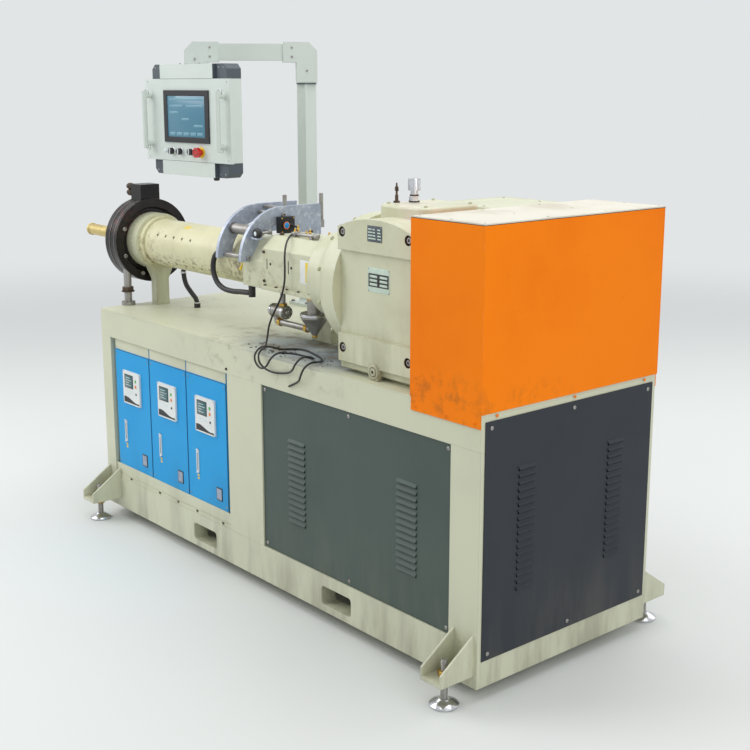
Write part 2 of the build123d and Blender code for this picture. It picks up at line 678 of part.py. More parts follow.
def cheek_plate(x0):
    """An arched aluminium cheek: a quarter ring at the operator's side, a straight top and a back leg."""
    cy = CHEEK_CENTRE_DEPTH
    cz = CHEEK_CENTRE_HEIGHT
    outer = CHEEK_OUTER_RADIUS
    inner = CHEEK_INNER_RADIUS
    half = math.sqrt(0.5)
    arc_out = ThreePointArc((cy - outer, cz), (cy - outer * half, cz + outer * half), (cy, cz + outer))
    arc_in = ThreePointArc((cy - inner, cz), (cy - inner * half, cz + inner * half), (cy, cz + inner))
    leg = CHEEK_BACK_DEPTH - CHEEK_LEG_WIDTH
    foot = AXIS_HEIGHT - CHEEK_FOOT_DROP
    back = Polyline((cy, cz + outer), (CHEEK_BACK_DEPTH, cz + outer), (CHEEK_BACK_DEPTH, foot), (leg, foot),
                    (leg, cz + inner), (cy, cz + inner))
    tip = Line((cy - outer, cz), (cy - inner, cz))
    face = make_face([arc_out, arc_in, tip] + list(back.edges()))
    plate = slab_yz(face, x0, x0 + CHEEK_THICKNESS)
    plate += block(x0, x0 + CHEEK_THICKNESS, leg - CHEEK_WEB_LENGTH, leg, cz + inner - CHEEK_WEB_DROP,
                   cz + inner)
    plate -= rod_x(x0 - 1, x0 + CHEEK_THICKNESS + 1, roller_depth, roller_height,
                   ROLLER_SHAFT_RADIUS + ROLLER_BORE_CLEARANCE)
    return plate - cast_box(throat_left, feed_left, FEED_BOTTOM, THROAT_SHOULDER, THROAT_TOP)


ring_middle = (CHEEK_OUTER_RADIUS + CHEEK_INNER_RADIUS) / 2
roller_depth = CHEEK_CENTRE_DEPTH - ring_middle * math.cos(math.radians(ROLLER_RING_ANGLE))
roller_height = CHEEK_CENTRE_HEIGHT + ring_middle * math.sin(math.radians(ROLLER_RING_ANGLE))


def guide_roller():
    """The roller that leads the rubber strip in, with its shaft ends in the cheeks."""
    inner0 = cheek_left + CHEEK_THICKNESS
    inner1 = cheek_right
    roller = rod_x(inner0 + ROLLER_END_GAP, inner1 - ROLLER_END_GAP, roller_depth, roller_height,
                   ROLLER_RADIUS)
    roller += rod_x(cheek_left - ROLLER_SHAFT_END, cheek_right + CHEEK_THICKNESS + ROLLER_SHAFT_END,
                    roller_depth, roller_height, ROLLER_SHAFT_RADIUS)
    return roller


def tie_rods():
    """Two spacer bars between the cheeks and one across their top."""
    inner0 = cheek_left + CHEEK_THICKNESS
    inner1 = cheek_right
    places = ((CHEEK_CENTRE_DEPTH - ring_middle, CHEEK_CENTRE_HEIGHT + TIE_ROD_RISE),
              (CHEEK_CENTRE_DEPTH, CHEEK_CENTRE_HEIGHT + ring_middle),
              (CHEEK_BACK_DEPTH - CHEEK_LEG_WIDTH / 2, CHEEK_CENTRE_HEIGHT))
    return [rod_x(inner0, inner1, y, z, TIE_ROD_RADIUS) for y, z in places]


barrel_left = BARREL_FLANGE_LEFT + BARREL_FLANGE_LENGTH


def barrel():
    """The jacketed barrel with its row of drilled plug holes towards the operator."""
    body = rod_x(barrel_left, throat_left, AXIS_DEPTH, AXIS_HEIGHT, BARREL_RADIUS)
    body += rod_x(barrel_left, barrel_left + BARREL_COLLAR_LENGTH, AXIS_DEPTH, AXIS_HEIGHT,
                  BARREL_COLLAR_RADIUS)
    for tilt, count in zip(PLUG_HOLE_ANGLES, PLUG_HOLE_COUNTS):
        for index in range(count):
            x = barrel_left + PLUG_HOLE_START + PLUG_HOLE_PITCH * index
            hole = Pos(x, AXIS_DEPTH, AXIS_HEIGHT) * Rot(90 - tilt, 0, 0) * Pos(0, 0, BARREL_RADIUS)
            body -= hole * Cylinder(PLUG_HOLE_RADIUS, 2 * PLUG_HOLE_DEPTH)
    pocket_middle = (cheek_left + CHEEK_THICKNESS + throat_left) / 2
    body -= block(pocket_middle - THROAT_POCKET_LENGTH / 2, pocket_middle + THROAT_POCKET_LENGTH / 2,
                  AXIS_DEPTH - THROAT_POCKET_WIDTH / 2, AXIS_DEPTH + THROAT_POCKET_WIDTH / 2,
                  AXIS_HEIGHT + BARREL_RADIUS - THROAT_POCKET_DEPTH, AXIS_HEIGHT + BARREL_RADIUS)
    return body


def barrel_flange():
    """The barrel's end flange and the leg that carries it on the deck."""
    x0 = BARREL_FLANGE_LEFT
    x1 = barrel_left
    flange = rod_x(x0, x1, AXIS_DEPTH, AXIS_HEIGHT, BARREL_FLANGE_RADIUS)
    leg_x = x1 - BARREL_LEG_THICKNESS
    half = BARREL_LEG_WIDTH / 2
    wide = half + BARREL_LEG_FLARE
    neck = AXIS_HEIGHT - BARREL_FLANGE_RADIUS - BARREL_LEG_FLARE
    top = AXIS_HEIGHT - wide
    outline = make_face(Polyline((-half, DECK_HEIGHT), (half, DECK_HEIGHT), (half, neck), (wide, top),
                                 (-wide, top), (-half, neck), close=True))
    return flange + Pos(0, AXIS_DEPTH, 0) * slab_yz(outline, leg_x, x1)


def clamp_ring():
    """The black clamp ring round the head joint: a heavy rim with a dished face."""
    x0 = RING_LEFT
    x1 = RING_LEFT + RING_LENGTH
    bore = BARREL_FLANGE_RADIUS
    middle = (x0 + x1) / 2
    groove = RING_GROOVE
    dish = x1 - RING_DISH
    rim = RING_RADIUS - RING_RIM
    profile = ((x0, HEAD_RADIUS), (x0, RING_RADIUS - RING_CHAMFER), (x0 + RING_CHAMFER, RING_RADIUS),
               (middle - groove, RING_RADIUS), (middle - groove, RING_RADIUS - groove),
               (middle, RING_RADIUS - groove), (middle, RING_RADIUS), (x1, RING_RADIUS), (x1, rim),
               (dish, rim - RING_CHAMFER), (dish, bore), (BARREL_FLANGE_LEFT, bore),
               (BARREL_FLANGE_LEFT, HEAD_RADIUS))
    return turned(profile)


def swing_clamp():
    """The clamp block on top of the ring with its two swing bolts."""
    x0 = RING_LEFT + CLAMP_BLOCK_INSET
    x1 = x0 + CLAMP_BLOCK_LENGTH
    z0 = AXIS_HEIGHT + RING_RADIUS - CLAMP_BLOCK_SEAT
    body = block(x0, x1, AXIS_DEPTH - CLAMP_BLOCK_WIDTH / 2, AXIS_DEPTH + CLAMP_BLOCK_WIDTH / 2, z0,
                 z0 + CLAMP_BLOCK_HEIGHT)
    for rise in CLAMP_BOLT_RISES:
        body += rod_x(x0 - CLAMP_BOLT_REACH, x0 + CLAMP_BOLT_RADIUS, AXIS_DEPTH - CLAMP_BLOCK_WIDTH / 4,
                      z0 + rise, CLAMP_BOLT_RADIUS)
    body -= rod_x(RING_LEFT - 1, RING_LEFT + RING_LENGTH + 1, AXIS_DEPTH, AXIS_HEIGHT, RING_RADIUS)
    return body


cone_right = BARREL_FLANGE_LEFT - HEAD_LENGTH
cone_left = cone_right - HEAD_CONE_LENGTH
nozzle_end = cone_left - NOZZLE_LENGTH


def die_head():
    """The head inside the ring, its cone and the bored nozzle."""
    x0 = BARREL_FLANGE_LEFT
    x1 = cone_right
    x2 = cone_left
    x3 = nozzle_end
    bore_end = x3 + NOZZLE_BORE_DEPTH
    profile = ((x0, 0), (x0, HEAD_RADIUS), (x1, HEAD_RADIUS), (x2, NOZZLE_RADIUS + NOZZLE_SHOULDER),
               (x2, NOZZLE_RADIUS), (x3, NOZZLE_RADIUS), (x3, NOZZLE_BORE_RADIUS),
               (bore_end, NOZZLE_BORE_RADIUS), (bore_end, 0))
    return turned(profile)


def jack_place():
    """Where the jack meets the ring: along the machine, across it, and the height."""
    x = RING_LEFT + RING_LENGTH - JACK_RADIUS
    y = AXIS_DEPTH - JACK_SETBACK
    drop = math.sqrt(RING_RADIUS ** 2 - JACK_SETBACK ** 2)
    return x, y, AXIS_HEIGHT - drop


cover_bottom = DECK_HEIGHT - COVER_OVERLAP


def motor_cover():
    """The folded sheet box over the belt drive, open underneath, its skirt lapping the deck edges."""
    sheet = COVER_SHEET
    cover = block(COVER_LEFT, BASE_LENGTH + sheet, -sheet, BASE_DEPTH + sheet, cover_bottom, COVER_TOP)
    cover -= block(COVER_LEFT + sheet, BASE_LENGTH, 0, BASE_DEPTH, cover_bottom - 1, COVER_TOP - sheet)
    for x0, x1 in ((COVER_LEFT - 1, COVER_LEFT + sheet), (BASE_LENGTH, BASE_LENGTH + sheet + 1)):
        cover -= block(x0, x1, -sheet - 1, BASE_DEPTH + sheet + 1, cover_bottom - 1, DECK_HEIGHT)
    return cover


def cover_lid():
    """The pale sheet lid on the cover."""
    sheet = COVER_SHEET
    return block(COVER_LEFT, BASE_LENGTH + sheet, -sheet, BASE_DEPTH + sheet, COVER_TOP, COVER_TOP + sheet)


def motor_housing():
    """The cream housing over the motor, beside the gearbox and behind it."""
    return block(COVER_LEFT - MOTOR_HOUSING_LENGTH, COVER_LEFT, gearbox_back, BASE_DEPTH, DECK_HEIGHT,
                 COVER_TOP - MOTOR_HOUSING_DROP)


def drive_guard():
    """The short guard between the gearbox and the belt cover."""
    return block(gearbox_right, COVER_LEFT, gearbox_front + GUARD_SETBACK, gearbox_back, DECK_HEIGHT,
                 shoulder)


def breather():
    """The oil filler and breather on the gearbox, a hexagon under a capped neck."""
    x = gearbox_middle - BREATHER_OFFSET
    base = crown + HUMP_HEIGHT
    nut_top = base + BREATHER_NUT_HEIGHT
    cap_bottom = nut_top + BREATHER_NECK_HEIGHT
    body = Pos(x, AXIS_DEPTH, base) * extrude(RegularPolygon(BREATHER_RADIUS, 6), BREATHER_NUT_HEIGHT)
    body += rod_z(nut_top, cap_bottom, x, AXIS_DEPTH, BREATHER_NECK_RADIUS)
    body += rod_z(cap_bottom, base + BREATHER_HEIGHT, x, AXIS_DEPTH, BREATHER_CAP_RADIUS)
    return body


arm_way = Vector(math.cos(math.radians(ARM_ANGLE)), math.sin(math.radians(ARM_ANGLE)), 0)
swivel_x = POST_X + arm_way.X * ARM_LENGTH
swivel_y = POST_DEPTH + arm_way.Y * ARM_LENGTH
panel_top = PANEL_BOTTOM + PANEL_HEIGHT
cap_top = panel_top + PANEL_CAP_HEIGHT
panel_place = Pos(swivel_x, swivel_y, 0) * Rot(0, 0, PANEL_ANGLE)
arm_place = Pos(POST_X, POST_DEPTH, 0) * Rot(0, 0, ARM_ANGLE)
frame_front = -PANEL_SETBACK


def panel_post():
    """The square post on its foot flange, standing on the deck behind the barrel."""
    half = TUBE_SIZE / 2
    post = block(POST_X - half, POST_X + half, POST_DEPTH - half, POST_DEPTH + half, DECK_HEIGHT, POST_TOP)
    flange = POST_FLANGE_SIZE / 2
    post += block(POST_X - flange, POST_X + flange, POST_DEPTH - flange, POST_DEPTH + flange, DECK_HEIGHT,
                  DECK_HEIGHT + POST_FLANGE_THICKNESS)
    return post


def elbow(bottom, way):
    """A chamfered elbow about the swivel axis at x = 0, its mouth facing along X by way (1 or -1)."""
    back = -ELBOW_HALF_WIDTH
    mouth = ARM_MIDDLE_HEIGHT - TUBE_HEIGHT / 2 - ELBOW_WALL
    outline = make_face(Polyline((back, bottom), (ELBOW_HALF_WIDTH, bottom), (ELBOW_HALF_WIDTH, mouth),
                                 (ELBOW_REACH, mouth), (ELBOW_REACH, ELBOW_TOP),
                                 (back + ELBOW_CHAMFER, ELBOW_TOP), (back, ELBOW_TOP - ELBOW_CHAMFER),
                                 close=True))
    half = TUBE_SIZE / 2 + ELBOW_WALL
    solid = slab_xz(outline, -half, half)
    return solid if way > 0 else mirror(solid, Plane.YZ)


def arm_elbow():
    """The elbow that turns on the post's top."""
    return arm_place * elbow(POST_TOP + SWIVEL_GAP, 1)


def arm_tube():
    """The square tube between the two elbows."""
    half = TUBE_SIZE / 2
    return arm_place * block(ELBOW_REACH, ARM_LENGTH - ELBOW_REACH, -half, half,
                             ARM_MIDDLE_HEIGHT - TUBE_HEIGHT / 2, ARM_MIDDLE_HEIGHT + TUBE_HEIGHT / 2)


def panel_elbow():
    """The elbow over the panel."""
    return arm_place * Pos(ARM_LENGTH, 0, 0) * elbow(cap_top + SWIVEL_GAP, -1)


def panel_housing():
    """The operator panel's front frame and the shallower box behind it."""
    half = PANEL_WIDTH / 2
    box = PANEL_BOX_WIDTH / 2
    back = frame_front + PANEL_FRAME_THICKNESS
    body = block(-half, half, frame_front, back, PANEL_BOTTOM, panel_top)
    body += block(-box, box, back, back + PANEL_BOX_DEPTH, PANEL_BOTTOM, panel_top)
    return panel_place * body


def panel_caps():
    """The pale middle pieces that close the box at its top and bottom."""
    half = PANEL_CAP_WIDTH / 2
    back = frame_front + PANEL_FRAME_THICKNESS + PANEL_BOX_DEPTH
    caps = []
    for z0 in (PANEL_BOTTOM - PANEL_CAP_HEIGHT, panel_top):
        caps.append(panel_place * block(-half, half, frame_front, back, z0, z0 + PANEL_CAP_HEIGHT))
    return caps


def panel_corners():
    """The dark corner pieces beside the caps."""
    inner = PANEL_CAP_WIDTH / 2
    outer = PANEL_BOX_WIDTH / 2
    front = frame_front + PANEL_CAP_RECESS
    back = frame_front + PANEL_FRAME_THICKNESS + PANEL_BOX_DEPTH
    corners = []
    for z0 in (PANEL_BOTTOM - PANEL_CAP_HEIGHT, panel_top):
        for x0, x1 in ((-outer, -inner), (inner, outer)):
            corner = block(x0, x1, front, back, z0, z0 + PANEL_CAP_HEIGHT)
            outside = x0 if x0 < 0 and x1 < 0 else x1
            z_edge = z0 if z0 < PANEL_BOTTOM else z0 + PANEL_CAP_HEIGHT
            edge = [e for e in corner.edges().filter_by(Axis.Y)
                    if abs(e.center().X - outside) < 1 and abs(e.center().Z - z_edge) < 1]
            corners.append(panel_place * chamfer(edge, PANEL_CAP_HEIGHT / 3))
    return corners


def touch_screen():
    """The black bezel with the display sunk in it."""
    half = BEZEL_WIDTH / 2
    middle = PANEL_BOTTOM + PANEL_HEIGHT / 2 + SCREEN_RISE
    z0 = middle - BEZEL_HEIGHT / 2
    bezel = block(-half, half, frame_front - BEZEL_THICKNESS, frame_front, z0, z0 + BEZEL_HEIGHT)
    face = frame_front - BEZEL_THICKNESS
    bezel -= block(-half + SCREEN_MARGIN_X, half - SCREEN_MARGIN_X, face - 1, face + SCREEN_SINK,
                   z0 + SCREEN_MARGIN_Z, z0 + BEZEL_HEIGHT - SCREEN_MARGIN_Z)
    return panel_place * bezel


def panel_grips():
    """A vertical grip bar on two standoffs at each side of the frame."""
    middle = PANEL_BOTTOM + PANEL_HEIGHT / 2
    grips = []
    for x in (-GRIP_SPREAD / 2, GRIP_SPREAD / 2):
        bar_y = frame_front - GRIP_STANDOFF
        grip = rod_z(middle - GRIP_LENGTH / 2, middle + GRIP_LENGTH / 2, x, bar_y, GRIP_RADIUS)
        for z in (middle - GRIP_POST_SPREAD / 2, middle + GRIP_POST_SPREAD / 2):
            grip += rod_y(bar_y, frame_front, x, z, GRIP_RADIUS)
        grips.append(panel_place * grip)
    return grips


def selector_knobs():
    """The key switch and the two selectors under the display."""
    z = PANEL_BOTTOM + PANEL_HEIGHT / 2 - CONTROL_DROP
    return [panel_place * rod_y(frame_front - CONTROL_HEIGHT, frame_front, x, z, CONTROL_RADIUS)
            for x in CONTROL_PLACES]


def emergency_button():
    """The red mushroom button on its collar."""
    z = PANEL_BOTTOM + PANEL_HEIGHT / 2 - CONTROL_DROP
    button = rod_y(frame_front - STOP_HEIGHT, frame_front - STOP_HEIGHT / 2, STOP_PLACE, z, STOP_RADIUS)
    button += rod_y(frame_front - STOP_HEIGHT / 2, frame_front, STOP_PLACE, z, STOP_COLLAR_RADIUS)
    return panel_place * button


def jack():
    """The threaded jack under the ring, standing on the deck."""
    x, y, top = jack_place()
    body = rod_z(DECK_HEIGHT, top + JACK_RADIUS, x, y, JACK_RADIUS)
    body += rod_z(DECK_HEIGHT, DECK_HEIGHT + JACK_BASE_HEIGHT, x, y, JACK_BASE_RADIUS)
    return body - rod_x(RING_LEFT - 1, RING_LEFT + RING_LENGTH + 1, AXIS_DEPTH, AXIS_HEIGHT, RING_RADIUS)


def guard_rods():
    """Two upright pins: one on a bar between the cheeks, one on a lug at the near cheek's back edge."""
    top = AXIS_HEIGHT + GUARD_ROD_RISE
    bar_y = CHEEK_CENTRE_DEPTH + 2 * GUARD_ROD_LUG
    bar_top = CHEEK_CENTRE_HEIGHT + CHEEK_OUTER_RADIUS - GUARD_ROD_LUG / 2
    bar = block(cheek_left + CHEEK_THICKNESS, cheek_right, bar_y - GUARD_ROD_LUG, bar_y + GUARD_ROD_LUG,
                bar_top - GUARD_ROD_LUG / 2, bar_top)
    first = bar + rod_z(bar_top, top, cheek_right - 2 * GUARD_ROD_RADIUS, bar_y, GUARD_ROD_RADIUS)
    lug_top = CHEEK_CENTRE_HEIGHT + CHEEK_INNER_RADIUS
    far = CHEEK_BACK_DEPTH + 2 * GUARD_ROD_RADIUS
    lug = block(cheek_right, cheek_right + CHEEK_THICKNESS, CHEEK_BACK_DEPTH, far,
                lug_top - GUARD_ROD_LUG_HEIGHT, lug_top)
    second = lug + rod_z(lug_top, top, cheek_right + CHEEK_THICKNESS / 2, far - GUARD_ROD_RADIUS,
                         GUARD_ROD_RADIUS)
    return [first, second]


def gate_switch():
    """The black switch box on the near cheek, with its round button."""
    x0 = cheek_right + CHEEK_THICKNESS
    x1 = x0 + SWITCH_DEPTH
    bottom = AXIS_HEIGHT + SWITCH_RISE
    half = SWITCH_WIDTH / 2
    body = block(x0, x1, CHEEK_CENTRE_DEPTH - half, CHEEK_CENTRE_DEPTH + half, bottom, bottom + SWITCH_HEIGHT)
    return body + rod_x(x1, x1 + SWITCH_BUTTON_HEIGHT, CHEEK_CENTRE_DEPTH - SWITCH_BUTTON_OFFSET,
                        bottom + SWITCH_HEIGHT / 2, SWITCH_BUTTON_RADIUS)


def unit_tray():
    """The folded strip under the three units, its lower part a step proud."""
    tray = block(bay_left, bay_right, UNIT_RECESS - TRAY_STEP, UNIT_RECESS, sill_top, door_bottom)
    return tray + block(bay_left, bay_right, UNIT_RECESS - 2 * TRAY_STEP, UNIT_RECESS - TRAY_STEP, sill_top,
                        sill_top + TRAY_LIP)


def bend_radii(points):
    """The largest arc at each inner point of a route: its shorter run, shared with the next arc."""
    radii = []
    for before, here, after in zip(points, points[1:], points[2:]):
        run_in = Vector(*here) - Vector(*before)
        run_out = Vector(*after) - Vector(*here)
        turn = math.radians(run_in.get_angle(run_out))
        radii.append(BEND_SHARE * min(run_in.length, run_out.length) / math.tan(turn / 2))
    return radii


def soft_tube(points, radius):
    """A round tube along straight runs joined by tangent arcs."""
    path = FilletPolyline(*points, radius=bend_radii(points))
    section = Plane(origin=path @ 0, z_dir=path % 0) * Circle(radius)
    return sweep(section, path=path)


# The jacket hose round the barrel's near side, from its boss to the throat block
JACKET_HOSE = ((704, 140, 1186), (676, 134, 1168), (664, 131, 1134), (666, 131, 1096), (690, 131, 1062),
               (730, 133, 1044), (780, 138, 1040), (830, 146, 1044), (880, 150, 1046))

# The drain hose from the barrel's underside down to the deck
DRAIN_HOSE = ((190, 290, 1050), (190, 290, 1012), (200, 294, 976), (226, 303, 946), (246, 311, 924),
              (250, 314, 904))

# The sensor's cable: off the switch, down the feed section, over the deck's edge in loose loops
SENSOR_CABLE = ((944.2, 292, 1290), (984, 292, 1290), (1030, 258, 1283), (1066, 215, 1277), (1100, 172, 1274),
                (1132, 132, 1254), (1150, 112, 1216), (1154, 110, 1168), (1151, 110, 1118), (1134, 108, 1070),
                (1106, 106, 1028), (1078, 104, 988), (1058, 104, 950), (1054, 102, 918), (1066, 88, 899),
                (1092, 66, 890.6), (1114, 46, 891), (1134, 28, 893), (1154, 4, 899), (1168, -20, 886),
                (1180, -24, 858), (1202, -12, 838), (1238, -6, 832), (1288, -5, 838), (1336, -8, 850),
                (1366, -18, 868), (1386, -24, 890), (1398, -4, 914), (1400, 30, 910), (1384, 58, 896),
                (1352, 72, 891), (1312, 72, 892), (1278, 56, 896), (1260, 26, 900), (1262, -6, 906),
                (1256, -32, 888), (1238, -34, 858), (1208, -36, 844), (1178, -38, 858), (1166, -36, 888),
                (1170, -10, 914), (1182, 26, 910), (1184, 62, 895), (1180, 98, 890.6), (1200, 130, 890),
                (1238, 138, 890), (1284, 126, 890), (1330, 112, 890.6), (1374, 96, 891), (1408, 72, 892),
                (1428, 40, 895), (1434, 8, 900), (1430, -20, 886), (1418, -26, 856), (1394, -14, 832),
                (1360, -6, 816), (1324, -5, 800))


def coolant_hoses():
    """Both hoses of the barrel's jacket, with the bosses that they are pushed onto."""
    jacket = rod_x(barrel_left, throat_left, AXIS_DEPTH, AXIS_HEIGHT, BARREL_RADIUS)
    x, y, z = JACKET_HOSE[0]
    side = rod_y(y - HOSE_BOSS_RADIUS, AXIS_DEPTH, x + HOSE_BOSS_RADIUS, z, HOSE_BOSS_RADIUS) - jacket
    x, y, z = DRAIN_HOSE[0]
    under = rod_z(z, AXIS_HEIGHT, x, y, HOSE_BOSS_RADIUS) - jacket
    x, y, z = JACKET_HOSE[-1]
    throat = rod_z(z - HOSE_BOSS_RADIUS, FEED_BOTTOM, x + HOSE_BOSS_RADIUS, y, HOSE_BOSS_RADIUS)
    x, y, z = DRAIN_HOSE[-1]
    deck = rod_z(DECK_HEIGHT, z, x, y, HOSE_BOSS_RADIUS)
    hoses = [soft_tube(JACKET_HOSE, HOSE_RADIUS), soft_tube(DRAIN_HOSE, HOSE_RADIUS)]
    return [side, under, throat, deck] + hoses


def feed_fittings():
    """Filter, drain pipe and conical trap hanging under the feed section."""
    x = feed_left + TRAP_OFFSET
    y = AXIS_DEPTH - FITTING_FORWARD
    top = DECK_HEIGHT + TRAP_TOP_RISE
    tip = DECK_HEIGHT + TRAP_TIP_RISE
    cone = make_face(Polyline((0, tip), (TRAP_TIP_RADIUS, tip), (TRAP_RADIUS, top - TRAP_RADIUS / 3),
                              (TRAP_RADIUS, top), (TRAP_NECK_RADIUS, top), (TRAP_NECK_RADIUS, FEED_BOTTOM),
                              (0, FEED_BOTTOM), close=True))
    body = Pos(x, y, 0) * revolve(Plane.XZ * cone, Axis.Z, 360)
    left = feed_left - FILTER_OVERHANG
    right = left + FILTER_LENGTH
    filter_z = DECK_HEIGHT + FILTER_RISE
    pipe_z = DECK_HEIGHT + DRAIN_PIPE_RISE
    body += rod_x(left, right, y, filter_z, FILTER_RADIUS)
    body += rod_z(filter_z, FEED_BOTTOM, right - FILTER_RADIUS, y, RISER_RADIUS)
    body += rod_z(pipe_z, filter_z, left + FILTER_RADIUS, y, DRAIN_PIPE_RADIUS)
    body += rod_x(left + FILTER_RADIUS, x, y, pipe_z, DRAIN_PIPE_RADIUS)
    return body


# Build, place and write every node
nodes = {}


def add(name, shape):
    """Keep a node: one solid, or a list of solids that don't touch."""
    pieces = shape if isinstance(shape, list) else [shape]
    nodes[name] = Compound([solid for piece in pieces for solid in piece.solids()])


add("front_bottom_rail", bottom_rail(0, FRAME_TUBE))
add("back_bottom_rail", bottom_rail(inner_back, BASE_DEPTH))
add("front_top_rail", block(0, BASE_LENGTH, 0, FRAME_TUBE, rail_bottom, deck_underside))
add("back_top_rail", block(0, BASE_LENGTH, inner_back, BASE_DEPTH, rail_bottom, deck_underside))
add("front_posts", posts(0, FRAME_TUBE))
add("back_posts", posts(inner_back, BASE_DEPTH))
add("left_end_rails", end_rails(0, FRAME_TUBE))
add("right_end_rails", end_rails(inner_right, BASE_LENGTH))
add("left_end_panel", block(FRAME_TUBE / 2, FRAME_TUBE / 2 + PANEL_SHEET, FRAME_TUBE, inner_back,
                            panel_bottom_edge, rail_bottom))
add("right_end_panel", end_panel())
add("front_louvre_panel", front_panel())
add("back_louvre_panels", back_panels())
add("deck_plate", block(0, BASE_LENGTH, 0, BASE_DEPTH, deck_underside, DECK_HEIGHT))
add("floor_pan", block(inner_left, inner_right, FRAME_TUBE, inner_back, sill_top - FLOOR_PAN_THICKNESS,
                       sill_top))
add("foot_brackets", [foot_bracket(x0, side) for x0, side in bracket_places()])
add("levelling_feet", [levelling_foot(x, y) for x, y in foot_places()])
for index in range(UNIT_COUNT):
    add(f"temperature_unit_{index + 1}", temperature_unit(index))
add("control_plates", [control_plate(index) for index in range(UNIT_COUNT)])
add("sight_gauges", [sight_gauge(index) for index in range(UNIT_COUNT)])
add("unit_tray", unit_tray())
add("gearbox_body", gearbox_body())
add("gearbox_cover", gearbox_cover())
add("breather", breather())
add("motor_cover", motor_cover())
add("cover_lid", cover_lid())
add("motor_housing", motor_housing())
add("drive_guard", drive_guard())
add("drum_flange", drum_flange())
add("feed_section", feed_section())
add("left_cheek_plate", cheek_plate(cheek_left))
add("right_cheek_plate", cheek_plate(cheek_right))
add("guide_roller", guide_roller())
add("tie_rods", tie_rods())
add("guard_rods", guard_rods())
add("gate_switch", gate_switch())
add("feed_fittings", feed_fittings())
add("coolant_hoses", coolant_hoses())
add("sensor_cable", soft_tube(SENSOR_CABLE, CABLE_RADIUS))
add("barrel", barrel())
add("barrel_flange", barrel_flange())
add("clamp_ring", clamp_ring())
add("swing_clamp", swing_clamp())
add("die_head", die_head())
add("ring_jack", jack())
add("panel_post", panel_post())
add("arm_elbow", arm_elbow())
add("arm_tube", arm_tube())
add("panel_elbow", panel_elbow())
add("panel_housing", panel_housing())
add("panel_caps", panel_caps())
add("panel_corners", panel_corners())
add("touch_screen", touch_screen())
add("panel_grips", panel_grips())
add("selector_knobs", selector_knobs())
add("emergency_button", emergency_button())

boxes = [shape.bounding_box() for shape in nodes.values()]
middle_x = (min(box.min.X for box in boxes) + max(box.max.X for box in boxes)) / 2
middle_y = (min(box.min.Y for box in boxes) + max(box.max.Y for box in boxes)) / 2
shift = Vector(-middle_x, -middle_y, 0)

os.makedirs("parts", exist_ok=True)
for name, shape in nodes.items():
    export_step(Pos(shift.X, shift.Y, 0) * shape, f"parts/{name}.step")
print("shift", round(shift.X, 3), round(shift.Y, 3))
print("post", round(POST_X + shift.X, 3), round(POST_DEPTH + shift.Y, 3))
print("swivel", round(swivel_x + shift.X, 3), round(swivel_y + shift.Y, 3))
print("roller", round(roller_depth + shift.Y, 3), round(roller_height, 3))
for route in (JACKET_HOSE, DRAIN_HOSE, SENSOR_CABLE):
    print("bend radii", [round(radius) for radius in bend_radii(route)])
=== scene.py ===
"""Dresses the cold-feed rubber extruder: finishes, small fittings, the sensor's cable, floor, light, camera.

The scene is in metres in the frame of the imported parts: +X towards the drive end, +Y away from the operator,
+Z up. Fittings are given in the machine's own millimetres: X from the base's left end, Y behind its front
face, Z above the floor.
"""

import json
import logging
import math
import random
from dataclasses import dataclass
from enum import Enum
from itertools import product

import bmesh
import bpy
from mathutils import Matrix, Vector

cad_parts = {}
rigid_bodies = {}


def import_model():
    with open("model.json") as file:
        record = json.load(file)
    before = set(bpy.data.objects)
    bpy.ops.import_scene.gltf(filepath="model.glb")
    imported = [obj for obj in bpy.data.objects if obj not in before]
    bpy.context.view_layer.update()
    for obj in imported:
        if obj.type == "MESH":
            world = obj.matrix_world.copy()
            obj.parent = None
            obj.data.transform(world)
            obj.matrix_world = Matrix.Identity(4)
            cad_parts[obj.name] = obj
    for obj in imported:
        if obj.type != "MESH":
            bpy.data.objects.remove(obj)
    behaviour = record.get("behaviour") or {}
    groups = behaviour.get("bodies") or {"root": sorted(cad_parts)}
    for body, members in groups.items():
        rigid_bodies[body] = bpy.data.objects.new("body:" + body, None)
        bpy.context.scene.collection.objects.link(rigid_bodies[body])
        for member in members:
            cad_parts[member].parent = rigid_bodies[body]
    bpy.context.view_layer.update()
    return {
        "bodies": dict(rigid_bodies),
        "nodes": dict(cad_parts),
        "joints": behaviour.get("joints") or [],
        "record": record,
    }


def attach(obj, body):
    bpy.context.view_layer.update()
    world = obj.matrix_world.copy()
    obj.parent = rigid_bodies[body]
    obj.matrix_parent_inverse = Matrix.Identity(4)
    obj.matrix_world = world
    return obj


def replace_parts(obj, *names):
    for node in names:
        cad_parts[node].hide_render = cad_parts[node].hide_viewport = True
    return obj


LOG = logging.getLogger("extruder")
UP = Vector((0, 0, 1))
LEFT = Vector((-1, 0, 0))
RIGHT = Vector((1, 0, 0))
NEAR = Vector((0, -1, 0))
FAR = Vector((0, 1, 0))
PER_METRE = 1000
MILLI = 1 / PER_METRE
MERGE_REACH = 0.000002
RING_STEPS = 40
HEAD_STEPS = 14
LIP_SHARE = 0.3
SMOOTH_ANGLE = math.radians(35.0)
ORIGIN = (855.0, 395.0, 0.0)
MACHINE = Matrix.Translation([-value / PER_METRE for value in ORIGIN]) @ Matrix.Scale(MILLI, 4)
AXIS = Vector((0, 250, 1152))  # the barrel's axis over the base's left end

Triple = tuple[float, float, float]
Profile = list[tuple[float, float]]
Place = Triple | Vector

# Distance along the axis and radius of a screw's head, as shares of its radius
SOCKET_HEAD = ((0, 1), (0.72, 1), (0.9, 0.86), (0.9, 0.5), (0.36, 0.46), (0.36, 0))
PAN_HEAD = ((0, 1), (0.2, 1), (0.425, 0.7), (0.5, 0.35), (0.25, 0.28), (0.25, 0))


